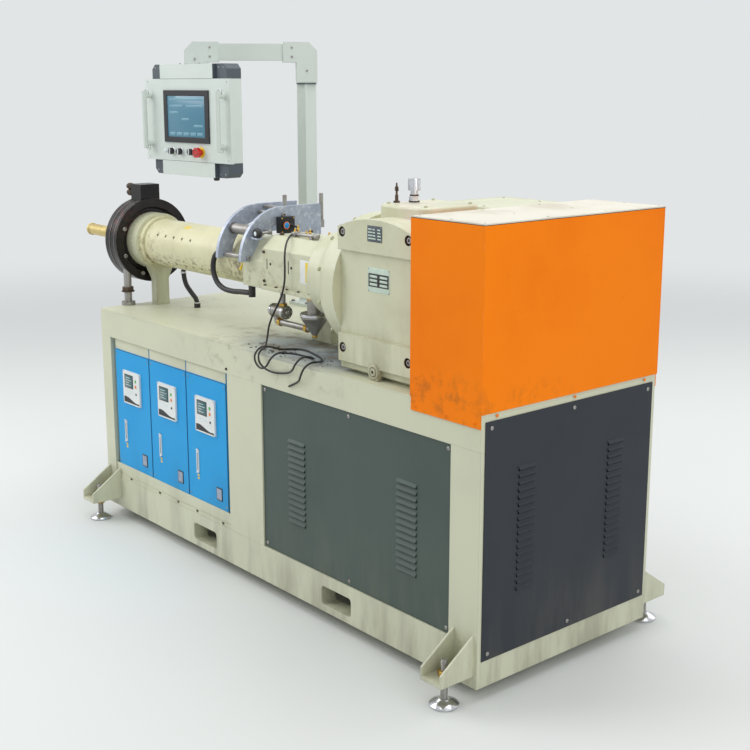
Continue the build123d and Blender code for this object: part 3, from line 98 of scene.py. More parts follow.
class Look(Enum):
    """Every finish. Those named like a material slot are that slot's own."""

    FRAME = "frame_cream"
    LOUVRE = "louvre_grey"
    END = "end_grey"
    COVER = "cover_orange"
    LID = "lid_pale"
    UNIT = "unit_blue"
    CONTROLLER = "controller_white"
    CASTING = "machine_cream"
    ALUMINIUM = "plate_aluminium"
    STEEL = "bare_steel"
    RING = "ring_black"
    CHROME = "foot_chrome"
    PANEL = "panel_light"
    CORNER = "panel_dark"
    SCREEN = "screen_black"
    CONTROL = "control_black"
    STOP = "stop_red"
    NOZZLE = "nozzle_pale"
    HOSE = "hose_black"
    DECK = "worn deck"
    BARREL = "grimy barrel"
    BRASS = "brass"
    RUSTY = "rusty iron"
    # Near-black brown: painted shade in holes, slots, sockets, gaps and seams, and one dark screw
    DARK_SHADE = "painted shade and dark screw"
    TEAL = "teal display"
    GLASS = "screen glass"
    PALE = "pale marks"
    GREEN = "green key"
    AMBER = "amber key"
    BLUE = "blue cap"
    YELLOW = "yellow marker"
    TINPLATE = "pale tinplate"
    FAINT = "faint display marks"


NODE_LOOKS = {"deck_plate": Look.DECK, "barrel": Look.BARREL}


def srgb(red: int, green: int, blue: int) -> Triple:
    """Turn 0 to 255 display values into linear colour.

    Args:
        red: display red.
        green: display green.
        blue: display blue.

    Returns:
        The three linear values.
    """
    shares = [value / 255 for value in (red, green, blue)]
    return tuple(share / 12.92 if share <= 0.04045 else ((share + 0.055) / 1.055) ** 2.4 for share in shares)


@dataclass(frozen=True)
class Patch:
    """A stained or worn area on a surface.

    Attributes:
        centre: its middle, metres.
        reach: how far it spreads along each axis, metres.
        colour: the stain, linear.
        amount: strength, 0 to 1.
        scale: size of its blotches, in noise scale per metre.
        low: the noise value where blotches begin, 0 to 1.
    """

    centre: Triple
    reach: Triple
    colour: Triple
    amount: float = 0.6
    scale: float = 14.0
    low: float = 0.45


@dataclass(frozen=True)
class Finish:
    """A painted, cast, machined or moulded surface.

    Attributes:
        base: main colour, linear.
        shade: colour of the darker, uneven areas, linear.
        mottle: how much of the shade shows, 0 to 1.
        mottle_scale: size of the uneven areas, in noise scale per metre.
        rough: roughness.
        rough_spread: how far roughness varies.
        metal: metallic share.
        grain_scale: scale of the fine bump, per metre.
        grain_height: height of the fine bump, in metres.
        coat: clear coat weight.
        gloss: specular level.
        glow: emission strength of the base colour.
        dirt: colour of grime near the bottom of the piece, linear.
        dirt_amount: how strong the grime is, 0 to 1.
        dirt_low: height where the grime is strongest, in metres.
        dirt_high: height where it ends, in metres.
        edge: colour at sharp edges, linear: worn paint showing through, and on the orange cover a painted
            highlight.
        edge_amount: how much of it shows.
        brush: stretch of the fine bump along X, for brushed metal.
        soften: radius that edges look rounded to, in metres.
        patches: stains and worn areas.
    """

    base: Triple
    shade: Triple
    mottle: float = 0.25
    mottle_scale: float = 3.0
    rough: float = 0.45
    rough_spread: float = 0.08
    metal: float = 0.0
    grain_scale: float = 900.0
    grain_height: float = 0.00004
    coat: float = 0.0
    gloss: float = 0.5
    glow: float = 0.0
    dirt: Triple = (0.05, 0.045, 0.035)
    dirt_amount: float = 0.0
    dirt_low: float = 0.0
    dirt_high: float = 0.3
    edge: Triple = (0.3, 0.29, 0.27)
    edge_amount: float = 0.0
    brush: float = 1.0
    soften: float = 0.0015
    patches: tuple[Patch, ...] = ()

    def make(self, name: str) -> bpy.types.Material:
        """Build the node material.

        Args:
            name: the material's name.

        Returns:
            The new material.
        """
        material = bpy.data.materials.new(name)
        material.use_nodes = True
        paint = Painter(material)
        coords = paint.coords()
        low = paint.noise(coords, self.mottle_scale, 4.0, 0.6)
        colour = paint.mix(paint.times(paint.ramp(low, 0.42, 0.72), self.mottle), self.base, self.shade)
        speck = paint.noise(coords, self.mottle_scale * 22, 3.0, 0.55)
        colour = paint.mix(paint.times(paint.ramp(speck, 0.6, 0.78), self.mottle * 0.5), colour, self.shade)
        rough = paint.ranged(low, self.rough - self.rough_spread, self.rough + self.rough_spread)
        for patch in self.patches:
            share = paint.patch(coords, patch)
            colour = paint.mix(share, colour, patch.colour)
            rough = paint.mix(share, rough, 0.75, "FLOAT")
        if self.dirt_amount > 0:
            streak = paint.noise(paint.stretched(coords, (9.0, 9.0, 1.6)), 1.0, 5.0, 0.65)
            grime = paint.times(paint.height(coords, self.dirt_low, self.dirt_high),
                                paint.ramp(streak, 0.38, 0.7))
            colour = paint.mix(paint.times(grime, self.dirt_amount), colour, self.dirt)
        # Patchy tint at sharp edges: worn paint on most finishes, a painted highlight on the orange cover
        if self.edge_amount > 0:
            patchy = paint.ramp(paint.noise(coords, 60.0, 4.0, 0.7), 0.45, 0.6)
            worn = paint.times(paint.times(paint.sharp_edges(0.004), patchy), self.edge_amount)
            colour = paint.mix(worn, colour, self.edge)
        grain_at = coords if self.brush == 1.0 else paint.stretched(coords, (1 / self.brush, 1.0, 1.0))
        paint.finish(colour, rough, paint.noise(grain_at, self.grain_scale, 2.0, 0.5), self.grain_height,
                     self.soften)
        paint.join(paint.shader, {"Metallic": self.metal, "Coat Weight": self.coat,
                                  "Specular IOR Level": self.gloss})
        if self.glow > 0:
            paint.join(paint.shader, {"Emission Color": self.base, "Emission Strength": self.glow})
        return material


class Painter:
    """Adds shader nodes to one material or world, one call for each step."""

    def __init__(self, owner: bpy.types.Material | bpy.types.World) -> None:
        """Start from the owner's own node tree."""
        self.tree = owner.node_tree
        self.shader = self.tree.nodes.get("Principled BSDF")

    def node(self, kind: str, inputs: dict | None = None, **settings: object) -> bpy.types.Node:
        """Add a node.

        Args:
            kind: the node's type name without its prefix.
            inputs: sockets, numbers or colours by the input's name or place.
            settings: the node's properties.

        Returns:
            The new node.
        """
        made = self.tree.nodes.new("ShaderNode" + kind)
        for key, value in settings.items():
            setattr(made, key, value)
        self.join(made, inputs or {})
        return made

    def join(self, target: bpy.types.Node, inputs: dict) -> None:
        """Feed a node's inputs with sockets, plain numbers or colours."""
        for key, source in inputs.items():
            socket = target.inputs[key]
            if isinstance(source, bpy.types.NodeSocket):
                self.tree.links.new(source, socket)
            elif isinstance(source, tuple) and len(socket.default_value) == 4:
                socket.default_value = (*source, 1.0)
            else:
                socket.default_value = source

    def coords(self) -> bpy.types.NodeSocket:
        """Object coordinates, which are the machine's own metres."""
        return self.node("TexCoord").outputs["Object"]

    def stretched(self, coords: object, scale: Triple) -> bpy.types.NodeSocket:
        """Coordinates scaled by axis."""
        return self.node("Mapping", {"Scale": scale, "Vector": coords}).outputs["Vector"]

    def noise(self, coords: object, scale: float, detail: float, rough: float) -> bpy.types.NodeSocket:
        """Noise factor at a scale per metre."""
        return self.node("TexNoise", {"Vector": coords, "Scale": scale, "Detail": detail,
                                      "Roughness": rough}).outputs["Fac"]

    def ranged(self, value: object, low: float, high: float) -> bpy.types.NodeSocket:
        """A 0 to 1 value moved to another range."""
        return self.node("MapRange", {"Value": value, "To Min": low, "To Max": high}).outputs["Result"]

    def ramp(self, value: object, low: float, high: float) -> bpy.types.NodeSocket:
        """0 at low, 1 at high, smooth between."""
        return self.node("MapRange", {"Value": value, "From Min": low, "From Max": high},
                         interpolation_type="SMOOTHSTEP").outputs["Result"]

    def times(self, one: object, other: object) -> bpy.types.NodeSocket:
        """The product of two values."""
        return self.node("Math", {0: one, 1: other}, operation="MULTIPLY").outputs[0]

    def plus(self, one: object, other: object) -> bpy.types.NodeSocket:
        """The sum of two values, 1 at most."""
        return self.node("Math", {0: one, 1: other}, operation="ADD", use_clamp=True).outputs[0]

    def mix(self, share: object, first: object, second: object, kind: str = "RGBA") -> bpy.types.NodeSocket:
        """Blend two colours, or two values where kind is FLOAT."""
        return self.node("Mix", {"Factor": share, "A": first, "B": second}, data_type=kind).outputs["Result"]

    def length(self, vector: object) -> bpy.types.NodeSocket:
        """Length of a vector."""
        return self.node("VectorMath", {0: vector}, operation="LENGTH").outputs["Value"]

    def patch(self, coords: object, patch: Patch) -> bpy.types.NodeSocket:
        """Strength of a stain: fading out from its middle, broken up by noise."""
        shifted = self.node("VectorMath", {0: coords, 1: patch.centre}, operation="SUBTRACT").outputs[0]
        scaled = self.node("VectorMath", {0: shifted, 1: patch.reach}, operation="DIVIDE").outputs[0]
        inside = self.ramp(self.length(scaled), 1.0, 0.35)
        blotch = self.ramp(self.noise(coords, patch.scale, 6.0, 0.65), patch.low, patch.low + 0.2)
        return self.times(self.times(inside, blotch), patch.amount)

    def height(self, coords: object, low: float, high: float) -> bpy.types.NodeSocket:
        """1 at the low height, 0 at the high one."""
        return self.ramp(self.node("SeparateXYZ", {0: coords}).outputs["Z"], high, low)

    def seen(self) -> bpy.types.NodeSocket:
        """1 for what the camera sees, also in a mirror or through glass."""
        path = self.node("LightPath").outputs
        return self.plus(path["Is Camera Ray"], self.plus(path["Is Glossy Ray"], path["Is Transmission Ray"]))

    def rounded(self, radius: float) -> bpy.types.NodeSocket:
        """The normal with sharp edges rounded to a radius in metres."""
        return self.node("Bevel", {"Radius": radius}, samples=4).outputs["Normal"]

    def sharp_edges(self, width: float) -> bpy.types.NodeSocket:
        """1 near sharp edges, from the angle between the true and a rounded normal."""
        plain = self.node("NewGeometry").outputs["Normal"]
        dot = self.node("VectorMath", {0: self.rounded(width), 1: plain}, operation="DOT_PRODUCT")
        return self.ramp(dot.outputs["Value"], 0.999, 0.93)

    def finish(self, colour: object, rough: object, grain: object, height: float,
               soften: float = 0.0) -> None:
        """Join colour, roughness, fine bump and rounded edges to the surface shader."""
        bump = self.node("Bump", {"Distance": height, "Height": grain})
        if soften > 0:
            self.join(bump, {"Normal": self.rounded(soften)})
        self.join(self.shader, {"Base Color": colour, "Roughness": rough, "Normal": bump.outputs["Normal"]})

    def backed(self, share: object, front: object, back: object, output: str) -> None:
        """Show one shader or the other at the named output."""
        blend = self.node("MixShader", {0: share, 1: front, 2: back})
        self.join(self.tree.nodes[output], {"Surface": blend.outputs[0]})


# The cable's route in the machine's own millimetres: down the feed section, then loops over the deck's edge
ROUTE = ((944.2, 292, 1290), (984, 292, 1290), (1030, 258, 1283), (1066, 215, 1277), (1100, 172, 1274),
         (1132, 132, 1254), (1150, 112, 1216), (1154, 110, 1168), (1151, 110, 1118), (1134, 108, 1070),
         (1106, 106, 1028), (1078, 104, 988), (1058, 104, 950), (1054, 102, 918), (1066, 88, 899),
         (1092, 66, 890.6), (1114, 46, 891), (1134, 28, 893), (1154, 4, 899), (1168, -20, 886),
         (1180, -24, 858), (1202, -12, 838), (1238, -6, 832), (1288, -5, 838), (1336, -8, 850),
         (1366, -18, 868), (1386, -24, 890), (1398, -4, 914), (1400, 30, 910), (1384, 58, 896),
         (1352, 72, 891), (1312, 72, 892), (1278, 56, 896), (1260, 26, 900), (1262, -6, 906),
         (1256, -32, 888), (1238, -34, 858), (1208, -36, 844), (1178, -38, 858), (1166, -36, 888),
         (1170, -10, 914), (1182, 26, 910), (1184, 62, 895), (1180, 98, 890.6), (1200, 130, 890),
         (1238, 138, 890), (1284, 126, 890), (1330, 112, 890.6), (1374, 96, 891), (1408, 72, 892),
         (1428, 40, 895), (1434, 8, 900), (1430, -20, 886), (1418, -26, 856), (1394, -14, 832),
         (1360, -6, 816), (1324, -5, 800))


CREAM = srgb(205, 206, 180)
CAST_CREAM = srgb(206, 207, 178)
GRIME = srgb(96, 88, 70)
RUST = srgb(108, 62, 56)
RUBBER_DUST = srgb(58, 56, 54)
PINK_DUST = srgb(222, 206, 196)
WORN_BLUE = srgb(150, 158, 160)
OILED_BLUE = srgb(120, 130, 138)
CAST_GRIME = srgb(120, 112, 92)
OLD_OIL = srgb(112, 92, 58)

FINISHES = {
    Look.FRAME: Finish(CREAM, srgb(188, 189, 166), 0.35, 2.5, 0.38, grain_height=0.00003, coat=0.15,
                       soften=0.003,
                       dirt=GRIME, dirt_amount=0.5, dirt_low=0.0, dirt_high=0.34,
                       patches=(Patch((0.3, -0.4, 0.84), (0.7, 0.1, 0.09), OLD_OIL, 0.35, 18.0, 0.5),)),
    Look.DECK: Finish(CREAM, srgb(184, 184, 162), 0.5, 3.0, 0.42, grain_height=0.00004,
                      patches=(Patch((0.42, -0.24, 0.886), (0.5, 0.26, 0.2), WORN_BLUE, 0.95, 6.0, 0.28),
                               Patch((0.56, -0.2, 0.886), (0.34, 0.2, 0.2), OILED_BLUE, 0.9, 9.0, 0.36),
                               Patch((0.3, -0.22, 0.886), (0.62, 0.3, 0.2), OLD_OIL, 0.7, 9.0, 0.46),
                               Patch((0.22, -0.16, 0.886), (0.75, 0.34, 0.2), RUBBER_DUST, 0.8, 120.0, 0.66),
                               Patch((-0.6, -0.1, 0.886), (0.4, 0.4, 0.2), GRIME, 0.4, 30.0, 0.55))),
    Look.LOUVRE: Finish(srgb(74, 87, 82), srgb(64, 76, 72), 0.4, 3.0, 0.5, grain_scale=1400,
                        grain_height=0.00008, gloss=0.3, dirt=srgb(120, 118, 104), dirt_amount=0.25,
                        dirt_low=0.15, dirt_high=0.5),
    Look.END: Finish(srgb(44, 48, 55), srgb(38, 42, 48), 0.4, 3.0, 0.5, grain_scale=1400,
                     grain_height=0.00008, gloss=0.3, dirt=srgb(110, 108, 98), dirt_amount=0.25, dirt_low=0.1,
                     dirt_high=0.45),
    # The paler orange at the cover's sharp edges is a painted highlight
    Look.COVER: Finish(srgb(250, 130, 4), srgb(236, 112, 2), 0.5, 1.6, 0.5, gloss=0.12, soften=0.002,
                       edge=srgb(250, 190, 120), edge_amount=0.25,
                       patches=(Patch((1.2, -0.3, 0.9), (0.3, 0.5, 0.12), srgb(170, 96, 40), 0.5, 20.0),)),
    Look.LID: Finish(srgb(214, 210, 196), srgb(180, 170, 150), 0.6, 5.0, 0.62),
    Look.UNIT: Finish(srgb(30, 158, 222), srgb(20, 146, 212), 0.4, 2.5, 0.38, grain_height=0.00003,
                      gloss=0.2, dirt=srgb(60, 110, 140), dirt_amount=0.3, dirt_low=0.2, dirt_high=0.45),
    Look.CONTROLLER: Finish(srgb(226, 229, 228), srgb(205, 208, 206), 0.3, 12.0, 0.4, grain_height=0.00003),
    Look.CASTING: Finish(CAST_CREAM, srgb(184, 182, 150), 0.5, 6.0, 0.4, 0.12, grain_scale=260,
                         grain_height=0.0004, coat=0.15, soften=0.004, edge=CAST_GRIME, edge_amount=0.35,
                         dirt=srgb(110, 96, 66), dirt_amount=0.45, dirt_low=0.88, dirt_high=1.15,
                         patches=(Patch((0.2, -0.26, 1.1), (0.34, 0.12, 0.16), OLD_OIL, 0.45, 26.0, 0.5),
                                  Patch((0.86, -0.2, 1.42), (0.24, 0.2, 0.08), PINK_DUST, 0.7, 8.0))),
    Look.BARREL: Finish(srgb(214, 210, 172), srgb(190, 184, 146), 0.5, 7.0, 0.4, 0.12, grain_scale=260,
                        grain_height=0.0003, coat=0.1, edge=CAST_GRIME, edge_amount=0.3,
                        patches=(Patch((-0.4, -0.22, 1.07), (0.5, 0.09, 0.09), GRIME, 0.9, 70.0, 0.5),
                                 Patch((-0.7, -0.2, 1.12), (0.2, 0.1, 0.14), OLD_OIL, 0.7, 30.0, 0.48),
                                 Patch((-0.05, -0.2, 1.12), (0.16, 0.1, 0.14), OLD_OIL, 0.8, 40.0, 0.46))),
    Look.ALUMINIUM: Finish(srgb(172, 180, 196), srgb(140, 148, 164), 0.6, 16.0, 0.46, 0.12, metal=0.55,
                           grain_scale=500, grain_height=0.0002, brush=6.0,
                           patches=(Patch((0.0, -0.1, 1.25), (0.3, 0.5, 0.4), srgb(216, 221, 230), 0.75, 55.0,
                                          0.5),
                                    Patch((0.0, -0.1, 1.25), (0.3, 0.5, 0.4), srgb(104, 112, 126), 0.6, 140.0,
                                          0.56))),
    Look.STEEL: Finish(srgb(162, 160, 156), srgb(116, 102, 90), 0.5, 26.0, 0.42, 0.12, metal=0.8,
                       grain_scale=800, grain_height=0.00005),
    Look.RUSTY: Finish(srgb(84, 66, 50), srgb(52, 42, 36), 0.8, 40.0, 0.62, 0.12, metal=0.2,
                       grain_scale=420, grain_height=0.0004),
    Look.RING: Finish(srgb(24, 22, 24), srgb(52, 42, 38), 0.5, 12.0, 0.32, 0.1, metal=0.4,
                      grain_scale=500, grain_height=0.0001, edge=srgb(110, 106, 104), edge_amount=0.5,
                      patches=(Patch((-0.88, -0.26, 1.24), (0.06, 0.1, 0.12), RUST, 0.6, 40.0),)),
    Look.CHROME: Finish(srgb(205, 206, 210), srgb(170, 168, 165), 0.4, 20.0, 0.16, 0.06, metal=1.0,
                        grain_scale=600, grain_height=0.00002),
    Look.BRASS: Finish(srgb(206, 168, 84), srgb(150, 112, 52), 0.5, 40.0, 0.3, metal=0.9),
    Look.PANEL: Finish(srgb(208, 216, 210), srgb(194, 203, 197), 0.3, 5.0, 0.45, grain_scale=1500),
    Look.CORNER: Finish(srgb(74, 82, 90), srgb(62, 70, 78), 0.3, 9.0, 0.48, grain_scale=1600,
                        grain_height=0.00006),
    Look.SCREEN: Finish(srgb(34, 35, 40), srgb(28, 29, 33), 0.3, 9.0, 0.3, grain_height=0.00002),
    Look.GLASS: Finish(srgb(70, 120, 142), srgb(60, 106, 130), 0.3, 9.0, 0.22, grain_height=0.00001,
                       coat=0.2, glow=0.15),
    Look.TEAL: Finish(srgb(40, 92, 96), srgb(32, 78, 84), 0.3, 40.0, 0.2, coat=0.4, glow=0.1),
    # Glows a little: lit display marks and lamps, and painted light on the control levers and the latch knob's
    # cap
    Look.PALE: Finish(srgb(214, 224, 228), srgb(200, 210, 216), 0.2, 30.0, 0.3, glow=0.1),
    Look.GREEN: Finish(srgb(92, 176, 96), srgb(78, 158, 84), 0.2, 30.0, 0.35, glow=0.05),
    # Glows a little: a lit alarm lamp, and painted light on the gate switch's ring
    Look.AMBER: Finish(srgb(232, 128, 48), srgb(214, 110, 38), 0.2, 30.0, 0.35, glow=0.05),
    Look.YELLOW: Finish(srgb(238, 204, 44), srgb(214, 176, 34), 0.3, 30.0, 0.4, grain_height=0.00002),
    Look.TINPLATE: Finish(srgb(196, 212, 198), srgb(168, 188, 176), 0.4, 40.0, 0.35, metal=0.3,
                          grain_scale=1500),
    Look.FAINT: Finish(srgb(106, 152, 170), srgb(96, 140, 158), 0.2, 30.0, 0.3, glow=0.1),
    Look.BLUE: Finish(srgb(36, 142, 214), srgb(30, 124, 196), 0.2, 30.0, 0.35),
    Look.CONTROL: Finish(srgb(26, 26, 28), srgb(44, 44, 46), 0.3, 40.0, 0.4, grain_height=0.00003),
    Look.HOSE: Finish(srgb(30, 30, 32), srgb(58, 55, 50), 0.5, 30.0, 0.5, grain_scale=700),
    # Near-black brown: painted shade in holes, slots, sockets, gaps and seams, and one dark screw
    Look.DARK_SHADE: Finish(srgb(38, 28, 22), srgb(24, 18, 15), 0.5, 60.0, 0.7),
    Look.STOP: Finish(srgb(206, 32, 24), srgb(176, 24, 18), 0.3, 30.0, 0.28, grain_height=0.00001, coat=0.4),
    Look.NOZZLE: Finish(srgb(212, 192, 128), srgb(168, 136, 82), 0.6, 18.0, 0.4, 0.1, metal=0.7,
                        grain_scale=500, grain_height=0.00006),
}


def grid(*rows: float | tuple[float, ...]) -> list[Triple]:
    """Every point of a grid, the last coordinate running fastest.

    Args:
        rows: the values along X, Y and Z, or a single number where a row holds only one.

    Returns:
        The points.
    """
    return list(product(*(row if isinstance(row, tuple) else (row,) for row in rows)))


def swung(direction: Vector, degrees: float, axis: str) -> Vector:
    """A direction swung about the X, Y or Z axis.

    Args:
        direction: the direction before.
        degrees: how far it is swung.
        axis: the axis's name.

    Returns:
        The direction after.
    """
    return Matrix.Rotation(math.radians(degrees), 3, axis) @ direction


def upright_frame(axis: tuple[float, float], degrees: float) -> Matrix:
    """The matrix from millimetres about an upright axis, turned by some degrees, to the shared metres."""
    return MACHINE @ Matrix.Translation((*axis, 0)) @ Matrix.Rotation(math.radians(degrees), 4, "Z")


def shared(place: Triple) -> Vector:
    """A point of the machine's millimetres, in metres of the shared frame."""
    return Vector([value - offset for value, offset in zip(place, ORIGIN)]) / PER_METRE


def turned_to(direction: Vector) -> Matrix:
    """The turn that brings +Z onto a direction."""
    return direction.to_track_quat("Z", "Y").to_matrix()


def placed(name: str, data: bpy.types.ID) -> bpy.types.Object:
    """Put an object that shows the given data in the scene."""
    obj = bpy.data.objects.new(name, data)
    bpy.context.scene.collection.objects.link(obj)
    return obj


class Shape:
    """A mesh in the making, filled one form at a time.

    Forms are given in millimetres of the shape's own frame. Every call that adds forms gives the shape back,
    so that calls can be chained.
    """

    def __init__(self, frame: Matrix = MACHINE) -> None:
        """Start empty.

        Args:
            frame: the matrix from the shape's millimetres to the shared metres.
        """
        self.bm = bmesh.new()
        self.frame = frame

    def rod(self, start: Place, end: Place, radius: float, steps: int = 20,
            rounding: float = 0.0) -> "Shape":
        """Add a closed round bar.

        Args:
            start: the middle of one end.
            end: the middle of the other.
            radius: its radius.
            steps: sides of the circle.
            rounding: bevel at both rims.
        """
        start, end = self.frame @ Vector(start), self.frame @ Vector(end)
        line = end - start
        place = Matrix.Translation((start + end) / 2) @ turned_to(line).to_4x4()
        made = bmesh.ops.create_cone(self.bm, cap_ends=True, cap_tris=False, segments=steps,
                                     radius1=radius * MILLI, radius2=radius * MILLI, depth=line.length,
                                     matrix=place)
        if rounding > 0:
            self.bevel({edge for vert in made["verts"] for edge in vert.link_edges
                        if any(len(face.verts) > 4 for face in edge.link_faces)}, rounding)
        return self

    def block(self, low: Place, high: Place, rounding: float = 0.0) -> "Shape":
        """Add a box between its lowest and highest corners, with a bevel on all its edges."""
        low, high = Vector(low), Vector(high)
        place = self.frame @ Matrix.Translation((low + high) / 2) @ Matrix.Diagonal((*(high - low), 1.0))
        made = bmesh.ops.create_cube(self.bm, size=1.0, matrix=place)
        if rounding > 0:
            self.bevel({edge for vert in made["verts"] for edge in vert.link_edges}, rounding)
        return self

    def bevel(self, edges: set[bmesh.types.BMEdge], width: float) -> None:
        """Round some edges."""
        bmesh.ops.bevel(self.bm, geom=list(edges), offset=width * MILLI, offset_type="OFFSET", affect="EDGES",
                        segments=2, profile=0.5, material=-1)

    def lathe(self, profile: Profile, direction: Vector, steps: int, *places: Place) -> "Shape":
        """Add a turned form at every place, closed at both ends.

        A profile that stops off the axis at both ends is closed along a straight line, into a ring. One that
        stops off the axis at one end gets a flat face there.

        Args:
            profile: pairs of distance along the axis and radius, from one end to the other.
            direction: the axis.
            steps: sides of the circle.
            places: where distance 0 lies.
        """
        points = list(profile)
        starts_off, ends_off = points[0][1] > 0, points[-1][1] > 0
        if starts_off and not ends_off:
            points.insert(0, (points[0][0], 0.0))
        elif ends_off and not starts_off:
            points.append((points[-1][0], 0.0))
        turn = turned_to((self.frame.to_3x3() @ direction).normalized())
        out, along = turn @ RIGHT, turn @ UP
        for place in places:
            known = set(self.bm.verts)
            middle = self.frame @ Vector(place)
            verts = [self.bm.verts.new(middle + (along * height + out * radius) * MILLI)
                     for height, radius in points]
            pairs = list(zip(verts, verts[1:]))
            if starts_off and ends_off:
                pairs.append((verts[-1], verts[0]))
            edges = [self.bm.edges.new(pair) for pair in pairs]
            bmesh.ops.spin(self.bm, geom=verts + edges, cent=middle, axis=along, dvec=(0, 0, 0), steps=steps,
                           angle=math.tau, use_merge=True, use_normal_flip=False, use_duplicate=False)
            poles = [vert for vert in self.bm.verts if vert not in known
                     and (vert.co - middle - along * (vert.co - middle).dot(along)).length < MERGE_REACH]
            bmesh.ops.remove_doubles(self.bm, verts=poles, dist=MERGE_REACH)
        return self

    def ring(self, direction: Vector, radius: float, thick: float, wide: float, *places: Place) -> "Shape":
        """Add a flat band round an axis at every place, standing proud of the radius.

        Args:
            direction: the axis.
            radius: the inner radius.
            thick: how far it stands out.
            wide: its length along the axis.
            places: its middle.
        """
        lip, half, outer = min(thick, wide) * LIP_SHARE, wide / 2, radius + thick
        return self.lathe([(-half, radius), (-half, outer - lip), (lip - half, outer), (half - lip, outer),
                           (half, outer - lip), (half, radius)], direction, RING_STEPS, *places)

    def screws(self, head: Profile, outward: Vector, radius: float, *places: Place) -> "Shape":
        """Add screw heads seated on a surface.

        Args:
            head: SOCKET_HEAD or PAN_HEAD.
            outward: the way the heads point.
            radius: a head's radius.
            places: where they sit.
        """
        profile = [(rise * radius, reach * radius) for rise, reach in head]
        return self.lathe(profile, outward, HEAD_STEPS, *places)

    def hex_bolts(self, radius: float, *places: Place) -> "Shape":
        """Add upright bolts, each a washer and a hexagon head."""
        for x, y, z in places:
            seat = z + radius * 0.25
            self.rod((x, y, z), (x, y, seat), radius * 1.25, 24)
            self.rod((x, y, seat), (x, y, z + radius), radius, 6, radius * 0.1)
        return self

    def ridges(self, start: Place, end: Place, count: int, pitch: Profile, steps: int,
               rim: float = 0.0) -> "Shape":
        """Add a turned bar with ridges along it.

        Args:
            start: the middle of one end.
            end: the middle of the other.
            count: how many ridges it has.
            pitch: a ridge's corners, as the share of the pitch and the radius.
            steps: sides of the circle.
            rim: radius of the first face.
        """
        line = Vector(end) - Vector(start)
        corners = [((index + share) * line.length / count, radius) for index in range(count)
                   for share, radius in pitch]
        face = [(0, 0), (0, rim)] if rim > 0 else [(0, 0)]
        return self.lathe([*face, *corners, (line.length, 0)], line.normalized(), steps, start)

    def thread(self, start: Place, end: Place, radius: float, pitch: float) -> "Shape":
        """Add a threaded stretch as close grooves round a rod."""
        count = max(2, round((Vector(end) - Vector(start)).length / pitch))
        return self.ridges(start, end, count, [(0.35, radius * 1.02), (0.85, radius * 0.9)], 16, radius * 0.9)

    def bead(self, start: Place, end: Place, radius: float) -> "Shape":
        """Add a weld bead with its ripples."""
        count = max(4, round((Vector(end) - Vector(start)).length / (radius * 1.4)))
        return self.ridges(start, end, count, [(0.3, radius), (0.9, radius * 0.72)], 10)

    def object(self, name: str) -> bpy.types.Object:
        """Turn the shape into an object at the origin, with all its faces outward."""
        mesh = bpy.data.meshes.new(name)
        bmesh.ops.recalc_face_normals(self.bm, faces=self.bm.faces)
        self.bm.to_mesh(mesh)
        self.bm.free()
        return placed(name, mesh)


@dataclass
class Assembly:
    """A sub-assembly whose pieces ride on one body.

    Attributes:
        materials: the finished materials by look.
        body: the body that its pieces move with.
    """

    materials: dict[Look, bpy.types.Material]
    body: str = "base"

    def add(self, name: str, look: Look, shape: Shape) -> bpy.types.Object:
        """Finish a shape as a piece of this sub-assembly.

        Args:
            name: the piece's name.
            look: its finish.
            shape: its mesh.

        Returns:
            The piece.
        """
        piece = shape.object(name)
        piece.data.polygons.foreach_set("use_smooth", [True] * len(piece.data.polygons))
        piece.data.set_sharp_from_angle(angle=SMOOTH_ANGLE)
        piece.data.materials.append(self.materials[look])
        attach(piece, self.body)
        return piece


@dataclass
class SensorCable(Assembly):
    """The switch's cable, hanging over the deck's edge in loose loops to its bare end.

    Attributes:
        radius: the cable's radius, metres.
        length: its length along the line, metres; not used.
        relief_length: length of the tapered strain relief.
        ribs: how many ribs the relief has.
    """

    radius: float = 0.0035
    length: float = 2.142
    relief_length: float = 24.0
    ribs: int = 5

    def build(self) -> None:
        """Lay the cable and fit its strain relief."""
        data = bpy.data.curves.new("sensor cable", "CURVE")
        data.dimensions = "3D"
        data.bevel_depth = self.radius
        data.bevel_resolution = 3
        data.resolution_u = 8
        data.use_fill_caps = True
        spline = data.splines.new("NURBS")
        spline.points.add(len(ROUTE) - 1)
        for point, place in zip(spline.points, ROUTE):
            point.co = (*shared(place), 1.0)
        spline.order_u = 3
        spline.use_endpoint_u = True
        cable = placed("sensor_cable_line", data)
        data.materials.append(self.materials[Look.HOSE])
        profile = [(0, 0), (0, 7.8), (3, 7.8)]
        for share in (rib / self.ribs for rib in range(self.ribs)):
            place = 4 + (self.relief_length - 5) * share
            profile += [(place, 7.0 - 2.8 * share), (place + 1.2, 5.8 - 2.0 * share)]
        profile += [(self.relief_length, self.radius * 1.05 / MILLI), (self.relief_length, 0)]
        sleeve = self.add("cable_strain_relief", Look.CONTROL, Shape().lathe(profile, RIGHT, 20, ROUTE[0]))
        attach(cable, self.body)
        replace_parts(cable, "sensor_cable")


